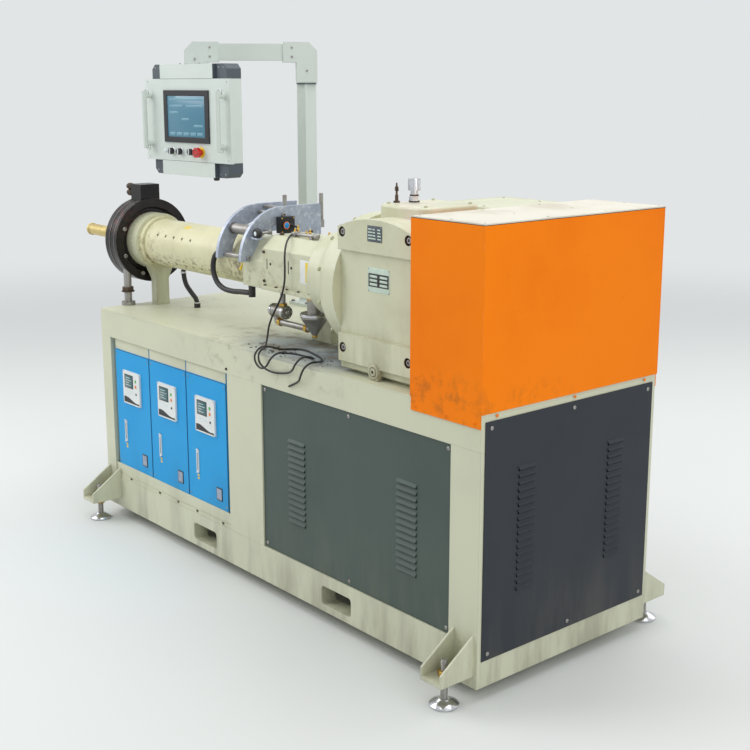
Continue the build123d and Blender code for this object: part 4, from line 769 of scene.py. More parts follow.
@dataclass
class BaseFrame(Assembly):
    """Panel screws, weld beads and levelling feet of the welded base.

    Attributes:
        screw: radius of a panel screw's head.
        bead: radius of a weld bead.
        lefts: where the foot brackets begin along the base.
        width: a bracket's width.
        walls: depth of the front and the back wall, and the way out of each along Y.
        reach: from a wall to the stud of a foot.
        stud: radius of a stud.
    """

    screw: float = 6.5
    bead: float = 2.8
    lefts: tuple[float, ...] = (14.0, 2126.0)
    width: float = 90.0
    walls: tuple[tuple[float, int], ...] = ((0.0, -1), (790.0, 1))
    reach: float = 75.0
    stud: float = 10.8

    def build(self) -> None:
        """Add every fitting of the base."""
        self.panel_screws()
        self.welds()
        self.feet()

    def panel_screws(self) -> None:
        """Screws that hold the louvred panels."""
        self.add("panel_screws", Look.STEEL, Shape()
                 .screws(PAN_HEAD, RIGHT, self.screw, *grid(2233, (40, 395, 750), (150, 842)))
                 .screws(PAN_HEAD, LEFT, self.screw, *grid(30, (90, 700), (190, 750)))
                 .screws(PAN_HEAD, NEAR, self.screw, *grid((1168, 1630, 2092), 6, (194, 757)))
                 .screws(PAN_HEAD, FAR, self.screw, *grid((88, 505, 922, 1168, 1630, 2092), 784, (194, 757))))
        self.add("header_screw", Look.DARK_SHADE, Shape().screws(SOCKET_HEAD, NEAR, 4.5, (937, 0, 791)))

    def welds(self) -> None:
        """Weld beads along the deck's back edge, at the rails' ends and at the foot brackets."""
        deck = Shape()
        for left, right in ((20, 700), (760, 1500), (1560, 2210)):
            deck.bead((left, 790.5, 877), (right, 790.5, 877), self.bead * 0.8)
        for x, z in product((2, 2228), (177, 774)):
            deck.bead((x, 20, z), (x, 35, z), self.bead * 0.6)
        self.add("deck_weld_beads", Look.FRAME, deck)
        brackets = Shape()
        for left, (wall, way) in product(self.lefts, self.walls):
            for x in (left, left + self.width):
                brackets.bead((x, wall, 92), (x, wall, 208), self.bead)
            brackets.bead((left + 10, wall + way, 97), (left + self.width - 10, wall + way, 97), self.bead)
        self.add("bracket_weld_beads", Look.FRAME, brackets)

    def feet(self) -> None:
        """Levelling feet: domed pads, threaded studs and brass lock nuts."""
        pads, studs, nuts = Shape(), Shape(), Shape()
        for left, (wall, way) in product(self.lefts, self.walls):
            x, y = left + self.width / 2, wall + way * self.reach
            pads.lathe([(0, 0), (0, 43), (2, 45), (7, 45), (9, 43.5), (17, 27), (22, 19), (24, 17), (24, 0)],
                       UP, 36, (x, y, 0))
            studs.rod((x, y, 22), (x, y, 66), 10.5).rod((x, y, 66), (x, y, 114), self.stud)
            for low, high in ((112, 147), (26, 68)):
                studs.thread((x, y, low), (x, y, high), self.stud, 2.4)
            for z in (68, 96):
                nuts.rod((x, y, z), (x, y, z + 16), 20.8, 6, 1.6).ring(UP, 16.8, 0.6, 16.8, (x, y, z + 8))
        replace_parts(self.add("levelling_feet_pads", Look.CHROME, pads), "levelling_feet")
        self.add("levelling_feet_studs", Look.STEEL, studs)
        self.add("levelling_feet_nuts", Look.BRASS, nuts)


@dataclass
class UnitFronts(Assembly):
    """Doors, controllers and gauges of the temperature-control units, and the tray under them.

    Attributes:
        count: number of units.
        first_left: left side of the first unit.
        span: a unit's width.
        gap: space between two units.
        door_face: depth of the doors' front.
        door_low: bottom of the doors.
        door_high: top of the doors.
        casing_high: top of the casings.
        plate_width: width of a controller plate.
        plate_low: its bottom.
        plate_high: its top.
        wave_steps: how many bars make up the dark band with its wavy upper edge.
    """

    count: int = 3
    first_left: float = 94.0
    span: float = 814.0 / 3
    gap: float = 4.0
    door_face: float = 8.0
    door_low: float = 236.0
    door_high: float = 728.0
    casing_high: float = 772.0
    plate_width: float = 132.0
    plate_low: float = 514.0
    plate_high: float = 652.0
    wave_steps: int = 14

    def build(self) -> None:
        """Dress every unit and the tray."""
        for index in range(self.count):
            unit = f"unit_{index + 1}_"
            left = self.first_left + index * (self.span + self.gap)
            plate = left + (self.span - self.plate_width) / 2
            self.door(unit, left)
            self.controller(unit, plate)
            self.gauge(unit, plate - 1)
        self.add("tray_lip", Look.FRAME, Shape().rod((73, 2.6, 192), (937, 2.6, 192), 1.6, 12, 0.4)
                 .rod((73, 6.2, 235.5), (937, 6.2, 235.5), 1.3, 12, 0.4))
        clips = Shape()
        for x in (190, 420, 560, 700, 880):
            clips.block((x, -1, 188), (x + 14, 2.4, 192.5), 0.6)
            clips.rod((x + 7, 0.4, 184), (x + 7, 0.4, 190), 2.6, 12, 0.6)
        self.add("tray_clips", Look.RUSTY, clips)

    def door(self, unit: str, left: float) -> None:
        """The cream header over a door, the gap round the door and its screws.

        Args:
            unit: how the names of the unit's pieces begin.
            left: the unit's left side.
        """
        right, low, high = left + self.span, self.door_low, self.door_high
        self.add(unit + "header", Look.FRAME,
                 Shape().block((left + 1, 9, high + 2), (right - 1, 12, self.casing_high - 1), 0.8))
        # Dark strips in the gap round the door: painted shade
        self.add(unit + "door_gap_shade", Look.DARK_SHADE, Shape()
                 .block((left + 1, 7.7, high - 2), (right - 1, 9, high - 0.4), 0.3)
                 .block((right - 2, 7.7, low + 2), (right - 0.6, 9, high - 2), 0.3))
        self.add(unit + "door_screws", Look.STEEL, Shape().screws(
            PAN_HEAD, NEAR, 3.4, *grid((left + 12, right - 12), self.door_face, (high - 16, low + 16))))

    def controller(self, unit: str, left: float) -> None:
        """Display, lamps, keypad and dark band of one controller plate.

        Args:
            unit: how the names of the unit's pieces begin.
            left: the plate's left side.
        """
        top = self.plate_high
        self.add(unit + "display_bezel", Look.CONTROL,
                 Shape().block((left + 14, -1, top - 70), (left + 82, 0.5, top - 14), 0.6))
        self.add(unit + "display", Look.TEAL,
                 Shape().block((left + 18, -1.4, top - 66), (left + 78, 0, top - 18), 0.4))
        marks = Shape()
        for drop, width in ((26, 34), (36, 44), (46, 26), (56, 38)):
            marks.block((left + 26, -1.6, top - drop - 2), (left + 26 + width, -1, top - drop), 0.2)
        for column, drop in product(range(6), (80, 88)):
            x = left + 22 + column * 10
            marks.block((x, -0.8, top - drop - 4), (x + 6, 0.2, top - drop), 0.3)
        self.add(unit + "display_marks", Look.PALE, marks)
        for name, look, drop in (("run", Look.GREEN, 34), ("alarm", Look.AMBER, 56)):
            self.add(f"{unit}{name}_lamp", look, Shape().lathe(
                [(0, 6.5), (0.6, 6.5), (0.6, 5.5), (1.5, 5), (2.2, 3), (2.4, 0)], NEAR, 20,
                (left + 102, 0, top - drop)))
        band = Shape().lathe([(0, 5), (0.8, 5), (1.2, 4.2), (1, 0)], NEAR, 20, (left + 104, 0, top - 88))
        bottom, width = top - 132, (self.plate_width - 12) / self.wave_steps
        for step in range(self.wave_steps):
            rise = 15 + 9 * math.cos((step + 0.5) / self.wave_steps * math.pi * 1.35 - 0.5)
            x = left + 6 + step * width
            band.block((x - 0.2, -0.5, bottom), (x + width + 0.2, 0.3, bottom + rise))
        self.add(unit + "band", Look.CONTROL, band)
        corners = grid((left + 5, left + self.plate_width - 5), 0, (self.plate_low + 5, top - 5))
        self.add(unit + "plate_screws", Look.STEEL, Shape().screws(PAN_HEAD, NEAR, 2.2, *corners))

    def gauge(self, unit: str, middle: float) -> None:
        """The level gauge's fittings, its dark line and markers, and the covered socket beside it.

        Args:
            unit: how the names of the unit's pieces begin.
            middle: the gauge's middle along the base.
        """
        self.add(unit + "gauge_ends", Look.CHROME, Shape().lathe(
            [(0, 0), (0, 4.5), (1.5, 6.2), (3.5, 6.2), (5, 4.5), (5, 0)], UP, 20,
            (middle, 5.5, 343), (middle, 5.5, 434)))
        self.add(unit + "gauge_line", Look.CONTROL,
                 Shape().rod((middle + 3, 2.6, 356), (middle + 3, 2.6, 424), 1.3, 10, 0.4))
        marks = Shape()
        for z in (334, 322):
            marks.block((middle - 6, 7.4, z - 5), (middle + 6, 8.3, z + 3), 0.3)
        self.add(unit + "gauge_marks", Look.YELLOW, marks)
        self.add(unit + "socket_frame", Look.CONTROL,
                 Shape().block((middle + 124, 6.2, 268), (middle + 164, 8.4, 318), 1.2))
        self.add(unit + "socket_cover", Look.ALUMINIUM, Shape()
                 .block((middle + 128, 5.2, 272), (middle + 160, 7, 314), 1)
                 .screws(PAN_HEAD, NEAR, 3, *grid(middle + 144, 5.2, (281, 305))))


@dataclass
class Gearbox(Assembly):
    """Bolts, plates, plug, breather rings and dipstick of the gearbox.

    Attributes:
        middle: the gearbox's middle along the base.
        band_face: depth of its raised bands.
        cover_face: depth of the cover between them.
        recess_offset: from the middle to a recess.
        recess_heights: heights of the recesses.
        drum_face: the drum's left face along the base.
        screw_circle: radius of the circle of the drum's screws.
        deck_clearance: height above which a drum screw shows.
    """

    middle: float = 1716.0
    band_face: float = 40.0
    cover_face: float = 52.0
    recess_offset: float = 157.0
    recess_heights: tuple[float, float] = (968.0, 1341.0)
    drum_face: float = 1437.0
    screw_circle: float = 214.0
    deck_clearance: float = 935.0

    def build(self) -> None:
        """Add every fitting of the gearbox."""
        self.recess_bolts()
        self.plates()
        self.drain_plug()
        self.top()
        screws = [AXIS + swung(NEAR, 15 + step * 30, "X") * self.screw_circle for step in range(12)]
        self.add("drum_screws", Look.CASTING, Shape().screws(
            SOCKET_HEAD, LEFT, 7, *((self.drum_face + 0.5, place.y, place.z) for place in screws
                                    if place.z > self.deck_clearance)))

    def recess_bolts(self) -> None:
        """Sunk cap screws in their rusty holes."""
        sides = (self.middle - self.recess_offset, self.middle + self.recess_offset)
        self.add("gearbox_recess_walls", Look.RUSTY, Shape().lathe(
            [(0, 0), (0, 15.4), (11.5, 15.7), (11.5, 16.1), (-0.6, 16.1), (-0.6, 0)], NEAR, 28,
            *grid(sides, self.cover_face - 0.2, self.recess_heights)))
        self.add("gearbox_cover_screws", Look.STEEL, Shape().screws(
            SOCKET_HEAD, NEAR, 10.5, *grid(sides, self.cover_face - 0.4, self.recess_heights)))

    def plates(self) -> None:
        """Two bare plates with plain bars and their rivets."""
        middle, band, cover = self.middle, self.band_face, self.cover_face
        self.add("gearbox_dark_plate", Look.CORNER,
                 Shape().block((middle - 32, band - 0.9, 1322), (middle + 38, band + 1, 1372), 0.4))
        fields = Shape()
        for row, (column, width) in product(range(4), enumerate((22, 14, 18))):
            x, z = middle - 28 + column * 22, 1330 + row * 9.5
            fields.block((x, band - 1.2, z), (x + width - row * 1.5, band, z + 4), 0.2)
        self.add("gearbox_dark_plate_fields", Look.TINPLATE, fields)
        self.add("gearbox_pale_plate", Look.TINPLATE,
                 Shape().block((middle - 44, cover - 1, 1163), (middle + 60, cover + 1, 1240), 0.4))
        self.add("gearbox_plate_field", Look.CONTROL,
                 Shape().block((middle - 40, cover - 1.4, 1180), (middle + 56, cover, 1222), 0.3))
        boxes = Shape()
        for row, column in product(range(3), range(2)):
            x, z = middle - 34 + column * 48, 1184 + row * 12.5
            boxes.block((x, cover - 1.7, z), (x + 36, cover - 1, z + 7.5), 0.2)
        self.add("gearbox_plate_boxes", Look.TINPLATE, boxes)
        self.add("gearbox_plate_rivets", Look.STEEL, Shape().lathe(
            [(0, 2), (0.6, 2), (1.2, 1), (1.4, 0)], NEAR, 12,
            *grid((middle - 40, middle + 56), cover - 1, (1167, 1236)),
            *grid((middle - 28, middle + 34), band - 0.9, (1326, 1368))))

    def drain_plug(self) -> None:
        """The drain plug's rings and its hexagon socket."""
        place = (self.middle, 36, 913)
        self.add("drain_plug", Look.CASTING, Shape().lathe(
            [(0, 24), (1, 24), (2, 22), (2, 16.5), (0.5, 16), (0.5, 13.5), (3, 13), (4.2, 11.5), (4.2, 6),
             (1, 5.5), (1, 0)], NEAR, 36, place))
        # The dark hexagon in the socket is painted shade
        self.add("drain_plug_socket_shade", Look.DARK_SHADE, Shape().rod(place, (self.middle, 33.2, 913), 5.2, 6, 0.3))

    def top(self) -> None:
        """The breather's rings and knurling, the dipstick, the hump's screws and the cover's seam."""
        self.add("breather_rings", Look.RUSTY, Shape().ring(UP, 12.2, 2.2, 6, (1666, 250, 1450))
                 .ring(UP, 15.8, 2, 5, (1666, 250, 1431)))
        grip = Shape()
        for step in range(24):
            foot = Vector((1666, 250, 1470)) + swung(RIGHT, step * 15, "Z") * 19.4
            grip.rod(foot, foot + UP * 30, 1.1, 6)
        self.add("breather_knurling", Look.CHROME, grip)
        self.add("oil_dipstick", Look.RUSTY, Shape().rod((1622, 214, 1424), (1622, 214, 1432), 11, 6, 1)
                 .lathe([(0, 5.5), (20, 5.5), (22, 3.5), (34, 3.5), (36, 6), (46, 6), (48, 3), (58, 2.6),
                         (60, 0)], UP, 16, (1622, 214, 1430))
                 .rod((1615, 214, 1466), (1629, 214, 1466), 3.2, 12, 0.6))
        self.add("hump_screws", Look.CASTING,
                 Shape().screws(SOCKET_HEAD, UP, 6, *grid((1630, 1802), (174, 366), 1426)))
        # A dark strip along the seam: painted shade in the joint
        self.add("gearbox_seam_shade", Look.DARK_SHADE, Shape().block((1540, 77.4, 905), (1892, 78.6, 906.4)))


@dataclass
class FeedEnd(Assembly):
    """Small fittings of the feed section, the cheek plates, the switch and the hoses.

    Attributes:
        near: depth of the feed box's near face.
        cheek_faces: outer face of each cheek plate along the base.
        knob: the latch knob's axis, along the base and in height.
        button: the switch button's axis, in depth and height.
        filter_axis: the filter's axis, in depth and height.
        filter_ends: end faces of the filter along the base.
        crumbs: number of rubber crumbs on the deck.
        seed: start of the crumbs' random numbers.
        deck_top: height of the deck.
    """

    near: float = 130.0
    cheek_faces: tuple[float, float] = (748.0, 914.0)
    knob: tuple[float, float] = (950.0, 1272.0)
    button: tuple[float, float] = (268.0, 1292.0)
    filter_axis: tuple[float, float] = (200.0, 988.0)
    filter_ends: tuple[float, float] = (953.0, 1040.0)
    crumbs: int = 70
    seed: int = 7
    deck_top: float = 886.0

    def build(self) -> None:
        """Add every fitting of the feed end."""
        self.near_face()
        self.top()
        self.litter()
        self.cheeks()
        self.switch()
        self.fittings()
        self.add("feed_rear_plate", Look.CASTING, Shape().block((1030, 379, 1112), (1250, 383, 1208), 1.2))
        self.add("feed_rear_screws", Look.RUSTY,
                 Shape().screws(SOCKET_HEAD, FAR, 5, *grid((1042, 1140, 1238), 383, (1122, 1198))))
        self.add("hose_bands", Look.CHROME, Shape().ring(UP, 9.8, 2.2, 8, (190, 290, 1030), (250, 314, 905)))
        self.add("bleed_nipple", Look.YELLOW, Shape().rod((852, 139, 1160), (866, 134, 1160), 5.5, 6, 0.6)
                 .lathe([(0, 6), (6, 6), (8, 3.5), (20, 3.5), (22, 5), (30, 5), (32, 0)],
                        Vector((-0.15, -0.35, -0.9)), 16, (858, 137, 1158)))

    def near_face(self) -> None:
        """Slots, tapped holes, the bare label plate and the lip's screws."""
        near = self.near
        # The slots and tapped holes are dark marks: painted shade
        holes = Shape()
        for x, low, high in ((1019, 1152, 1188), (1147, 1148, 1192)):
            holes.block((x - 2.4, near - 0.3, low), (x + 2.4, near + 1, high), 0.5)
            holes.ring(NEAR, 1.6, 1, 0.6, (x, near, high))
        holes.lathe([(0, 5.2), (0.4, 5.2), (0.4, 0)], NEAR, 18, (1040, near, 1172), (1164, near, 1171))
        self.add("feed_slot_shade", Look.DARK_SHADE, holes)
        self.add("feed_label_plate", Look.CONTROLLER,
                 Shape().block((1216, near - 0.8, 1124), (1270, near + 1, 1206), 0.4))
        self.add("feed_label_band", Look.YELLOW,
                 Shape().block((1246, near - 1.1, 1130), (1260, near, 1200), 0.3))
        self.add("feed_screws", Look.RUSTY, Shape()
                 .screws(SOCKET_HEAD, UP, 4.5, *grid((1010, 1076, 1142, 1208, 1274), 125, 1092))
                 .screws(SOCKET_HEAD, NEAR, 5.5, *grid((1002, 1281), near, (1108, 1212))))

    def top(self) -> None:
        """The lever, the nipples and the bolts on the feed box's top."""
        self.add("feed_lever", Look.STEEL, Shape().rod((1092, 205, 1277), (1214, 199, 1281), 6.5, 20, 1)
                 .lathe([(0, 0), (0, 9), (3, 11), (16, 11), (20, 7), (20, 0)], RIGHT, 20, (1212, 199, 1281))
                 .block((1082, 192, 1266), (1100, 218, 1286), 1.8)
                 .block((1190, 190, 1266), (1204, 210, 1276), 1.5))
        nipples = Shape()
        for x, y, top in ((1060, 226, 18), (1112, 238, 14), (1149, 226, 22), (1030, 262, 26),
                          (1212, 262, 16)):
            nipples.rod((x, y, 1267), (x, y, 1275), 7.5, 6, 0.8)
            nipples.lathe([(0, 5), (top * 0.5, 5), (top * 0.6, 3.2), (top * 0.9, 3.6), (top, 2), (top, 0)],
                          UP, 16, (x, y, 1275))
        self.add("feed_nipples", Look.BRASS, nipples)
        self.add("feed_top_bolts", Look.RUSTY, Shape().hex_bolts(8, *grid((1016, 1266), (200, 330), 1268)))

    def litter(self) -> None:
        """Rubber crumbs scattered on the deck."""
        crumbs = Shape()
        scatter = random.Random(self.seed)
        for _ in range(self.crumbs):
            x, y = scatter.uniform(1000, 1480), scatter.uniform(20, 125)
            size = scatter.uniform(1.2, 3.4)
            start = Vector((x, y, self.deck_top + size / 2))
            lean = Vector((scatter.uniform(-1, 1), scatter.uniform(-1, 1), scatter.uniform(-0.15, 0.15)))
            crumbs.rod(start, start + lean.normalized() * size * scatter.uniform(1.2, 3.5), size * 0.55, 5)
        self.add("rubber_crumbs", Look.CONTROL, crumbs)

    def cheeks(self) -> None:
        """Screws at the tie rods' ends, and the latch with its knob."""
        left, right = self.cheek_faces
        rods = ((121, 1182), (280, 1327), (425, 1168))
        self.add("cheek_screws", Look.STEEL, Shape()
                 .screws(SOCKET_HEAD, RIGHT, 8.5, *((right, y, z) for y, z in rods))
                 .screws(SOCKET_HEAD, LEFT, 8.5, *((left, y, z) for y, z in rods)))
        x, z = self.knob
        self.add("latch_bracket", Look.ALUMINIUM, Shape().block((right, 128, 1250), (962, 156, 1256), 1.2)
                 .rod((x, 142, 1254), (x, 142, 1262), 7, 6, 0.8))
        self.add("latch_knob", Look.CONTROL, Shape().lathe(
            [(0, 6), (4, 8), (10, 17), (16, 19.5), (24, 19.5), (30, 16), (30, 9), (28, 8.5), (28, 0)],
            NEAR, 28, (x, 158, z)))
        # The pale cap's glow is painted light
        self.add("latch_knob_cap", Look.PALE,
                 Shape().lathe([(0, 8), (1, 8), (2.2, 5), (2.6, 0)], NEAR, 20, (x, 130, z)))
        self.add("latch_stem", Look.STEEL, Shape().rod((x, 157, z), (x, 196, z), 5, 16, 0.6)
                 .block((right, 190, 1264), (958, 200, 1280), 1.5))

    def switch(self) -> None:
        """The switch's ring, button and screws."""
        # The amber ring's glow is painted light
        self.add("gate_switch_ring", Look.AMBER, Shape().ring(RIGHT, 11.2, 2.6, 2, (952.4, *self.button)))
        self.add("gate_switch_button", Look.BLUE, Shape().lathe(
            [(0, 10.8), (2, 10.8), (3.4, 8.5), (3.8, 0)], RIGHT, 24, (951.6, *self.button)))
        self.add("gate_switch_screws", Look.BRASS,
                 Shape().screws(PAN_HEAD, RIGHT, 3, *grid(944, (254, 306), (1267, 1317))))

    def fittings(self) -> None:
        """Unions, bands and screws on the filter, the drain pipe and the trap."""
        unions = Shape()
        for start, end, radius, rounding in (((1016, 200, 1010), (1016, 200, 1020), 16.5, 1),
                                             ((1016, 200, 1066), (1016, 200, 1077), 16.5, 1),
                                             ((990, 200, 948), (1006, 200, 948), 15.5, 1),
                                             ((1150, 200, 948), (1166, 200, 948), 15.5, 1),
                                             ((1203, 200, 1058), (1203, 200, 1077), 30.5, 1.4),
                                             ((1203, 200, 930.5), (1203, 200, 923), 10.5, 0.8)):
            unions.rod(start, end, radius, 6, rounding)
        self.add("fitting_unions", Look.BRASS, unions)
        bands = Shape().ring(RIGHT, 23.8, 2.2, 8, (962, *self.filter_axis), (1031, *self.filter_axis))
        bands.ring(UP, 49.8, 1.8, 9, (1203, 200, 1004)).ring(UP, 28.2, 1.6, 3, (1203, 200, 968))
        for x, way in zip(self.filter_ends, (LEFT, RIGHT)):
            middle = Vector((x, *self.filter_axis))
            around = [middle + swung(FAR, step * 60, "X") * 18.5 for step in range(6)]
            bands.screws(PAN_HEAD, way, 2.8, *around)
            bands.lathe([(0, 8), (3, 8), (4, 6.6), (4, 0)], way, 24, middle)
        self.add("fitting_bands", Look.CHROME, bands)


@dataclass
class BarrelAndHead(Assembly):
    """Plugs, seams and screws of the barrel, and the studs and nuts of the die clamp.

    Attributes:
        radius: the barrel's radius.
        first_plug: the first plug hole along the base.
        plug_pitch: from one plug hole to the next.
        rows: tilt above the near side in degrees, and number, of each row of plugs.
        bolt: depth of the swing bolts' axes.
        jack_axis: the jack's axis on the floor plan.
    """

    radius: float = 97.0
    first_plug: float = 205.0
    plug_pitch: float = 62.0
    rows: tuple[tuple[float, int], ...] = ((28.0, 5), (-40.0, 7))
    bolt: float = 227.5
    jack_axis: tuple[float, float] = (2.0, 130.0)

    def build(self) -> None:
        """Add every fitting of the barrel and the die head."""
        self.plugs()
        self.seams()
        self.clamp()
        self.head()
        self.jack()

    def spots(self, x: float, radius: float, *tilts: float) -> list[Vector]:
        """Places on a round surface about the barrel's axis.

        Args:
            x: along the base.
            radius: distance from the axis.
            tilts: degrees above the near side.

        Returns:
            The places.
        """
        return [AXIS + RIGHT * x + swung(NEAR, -tilt, "X") * radius for tilt in tilts]

    def plugs(self) -> None:
        """Dark plug screws in the barrel's rows of holes; their dark colour also paints the holes' shade."""
        plugs, rims = Shape(), Shape()
        for tilt, count in self.rows:
            out = swung(NEAR, -tilt, "X")
            places = [self.spots(self.first_plug + index * self.plug_pitch, self.radius, tilt)[0]
                      for index in range(count)]
            plugs.lathe([(-4, 4.8), (-1.2, 4.8), (-1.2, 2.6), (-3, 2.4), (-3, 0)], out, 16, *places)
            rims.lathe([(-0.8, 5.2), (0.6, 5.6), (0.6, 7.2), (-0.8, 7.8)], out, 18, *places)
        # The plugs' dark colour also paints the shade in the holes
        self.add("barrel_plug_shade", Look.DARK_SHADE, plugs)
        self.add("barrel_plug_rims", Look.BARREL, rims)

    def seams(self) -> None:
        """The collar's seams, the flange's split line and screws, and the yellow marker."""
        self.add("barrel_collar_seams", Look.BARREL, Shape()
                 .ring(RIGHT, 104.8, 1.4, 2.4, AXIS + RIGHT * 112.5)
                 .ring(RIGHT, 105.5, 1.6, 3, AXIS + RIGHT * 85.2))
        # A dark ring along the flange's split line: painted shade in the joint
        self.add("flange_split_shade", Look.DARK_SHADE, Shape().ring(RIGHT, 117.2, 1.1, 1.6, AXIS + RIGHT * 40))
        self.add("flange_screws", Look.BARREL,
                 Shape().screws(PAN_HEAD, RIGHT, 4.2, *self.spots(85, 110.5, *range(15, 375, 30))))
        marker = Shape()
        for start in self.spots(350, self.radius - 1.6, *(58 + step * 2.6 for step in range(5))):
            marker.rod(start, start + RIGHT * 42, 2.3, 6)
        self.add("barrel_marker", Look.YELLOW, marker)

    def clamp(self) -> None:
        """Face screws of the clamp ring, with the swing bolts' threads and domed nuts."""
        tilts = (22.5, 157.5, 202.5, 247.5, 292.5, 337.5)
        self.add("clamp_ring_screws", Look.STEEL, Shape()
                 .screws(SOCKET_HEAD, RIGHT, 8.5, *self.spots(18, 146, *tilts))
                 .screws(SOCKET_HEAD, LEFT, 8.5, *self.spots(-82, 150, *tilts)))
        self.add("clamp_ring_lines", Look.STEEL,
                 Shape().ring(RIGHT, 174.7, 0.9, 2, AXIS + LEFT * 40, AXIS + LEFT * 4))
        nuts, threads = Shape(), Shape()
        for z in (1346, 1372):
            nuts.lathe([(0, 0), (0, 13.5), (3, 14.2), (12, 14.2), (16, 11.8), (20, 6.2), (21, 0)], LEFT, 24,
                       (-110, self.bolt, z))
            nuts.rod((-108, self.bolt, z), (-96, self.bolt, z), 14.5, 6, 1)
            threads.thread((-96, self.bolt, z), (-72, self.bolt, z), 11.3, 2)
        self.add("swing_bolt_nuts", Look.RUSTY, nuts)
        self.add("swing_bolt_threads", Look.RING, threads)

    def head(self) -> None:
        """Screws and scored lines of the die head, and the nozzle's nut."""
        screws = Shape()
        for tilt in range(30, 390, 60):
            screws.screws(SOCKET_HEAD, swung(NEAR, -tilt, "X"), 6, *self.spots(-150, 92, tilt))
        self.add("die_head_screws", Look.STEEL, screws)
        lines = Shape()
        for x, radius in ((-176, 91.7), (-132, 91.7), (-96, 91.7), (-318, 24.7), (-500, 24.7)):
            lines.ring(RIGHT, radius, 1, 2.2, AXIS + RIGHT * x)
        self.add("die_head_lines", Look.STEEL, lines)
        self.add("nozzle_nut", Look.NOZZLE, Shape().rod(AXIS + LEFT * 352, AXIS + LEFT * 326, 30.5, 6, 1.6)
                 .ring(RIGHT, 24.7, 2.6, 12, AXIS + LEFT * 521))

    def jack(self) -> None:
        """The jack's thread, its lock nut and the screws of its foot."""
        x, y = self.jack_axis
        self.add("jack_thread", Look.STEEL, Shape().thread((x, y, 960), (x, y, 1024), 16.1, 4))
        screws = [Vector((x, y, 900)) + swung(RIGHT, angle, "Z") * 22.5 for angle in (45, 135, 225, 315)]
        self.add("jack_nut", Look.RUSTY, Shape().rod((x, y, 946), (x, y, 962), 26.5, 6, 1.6)
                 .rod((x, y, 942), (x, y, 946), 27.5, 28, 0.8).screws(PAN_HEAD, UP, 4, *screws))


@dataclass
class DriveCover(Assembly):
    """Seams, screws and vents of the orange cover and the motor housing behind it.

    Attributes:
        vent_rows: rows of vents on the motor housing.
        vent_low: height of the lowest row.
        vent_pitch: height from one row to the next.
    """

    vent_rows: int = 9
    vent_low: float = 1010.0
    vent_pitch: float = 24.0

    def build(self) -> None:
        """Add the fittings of the cover and of the motor housing."""
        self.add("cover_screws", Look.COVER, Shape()
                 .screws(PAN_HEAD, NEAR, 5, *grid((1960, 2090, 2206), -4, 858))
                 .screws(PAN_HEAD, FAR, 5, *grid((1960, 2090, 2206), 794, 858))
                 .screws(PAN_HEAD, RIGHT, 5, *grid(2234, (60, 395, 730), 876)))
        # Dark strips along the lid's seam: painted shade in the joint
        self.add("cover_lid_seam_shade", Look.DARK_SHADE, Shape().block((1933.5, -4.3, 1418.6), (2234.3, -3.4, 1420.2))
                 .block((2233.4, -4, 1418.6), (2234.3, 794, 1420.2)))
        self.add("lid_screws", Look.LID,
                 Shape().screws(PAN_HEAD, UP, 4.8, *grid((1950, 2083, 2216), (14, 270, 526, 780), 1424)))
        self.add("motor_housing_lip", Look.FRAME, Shape()
                 .block((1540.5, 457.5, 1378), (1933, 462, 1407), 1.2)
                 .block((1540.5, 788, 1378), (1933, 792.5, 1407), 1.2)
                 .block((1540.5, 457.5, 1378), (1545, 792.5, 1407), 1.2)
                 .block((1538, 786, 886), (1933, 792.5, 892), 1)
                 .block((1534, 470, 886), (1545, 790, 892), 1))
        self.add("motor_housing_screws", Look.STEEL, Shape()
                 .screws(PAN_HEAD, FAR, 4.6, *grid((1580, 1735, 1890), 792.5, 1392))
                 .screws(PAN_HEAD, FAR, 4.6, *grid((1580, 1735, 1890), 790, 904))
                 .screws(PAN_HEAD, LEFT, 4.6, *grid(1540.5, (500, 625, 750), 1392))
                 .screws(PAN_HEAD, UP, 4.6, *grid((1570, 1740, 1905), (490, 760), 1406)))
        self.vents()

    def vents(self) -> None:
        """Hooded vent slots on the motor housing's back and side."""
        slots, hoods = Shape(), Shape()
        for z in (self.vent_low + row * self.vent_pitch for row in range(self.vent_rows)):
            for left in (1600, 1760):
                slots.block((left, 789.2, z), (left + 112, 790.3, z + 7))
                hoods.block((left - 2, 790, z + 6), (left + 114, 794, z + 10), 1.2)
            slots.block((1542.7, 560, z), (1544, 690, z + 7))
            hoods.block((1539, 558, z + 6), (1543, 692, z + 10), 1.2)
        # The dark slots under the hoods are painted shade
        self.add("motor_housing_slot_shade", Look.DARK_SHADE, slots)
        self.add("motor_housing_hoods", Look.CASTING, hoods)


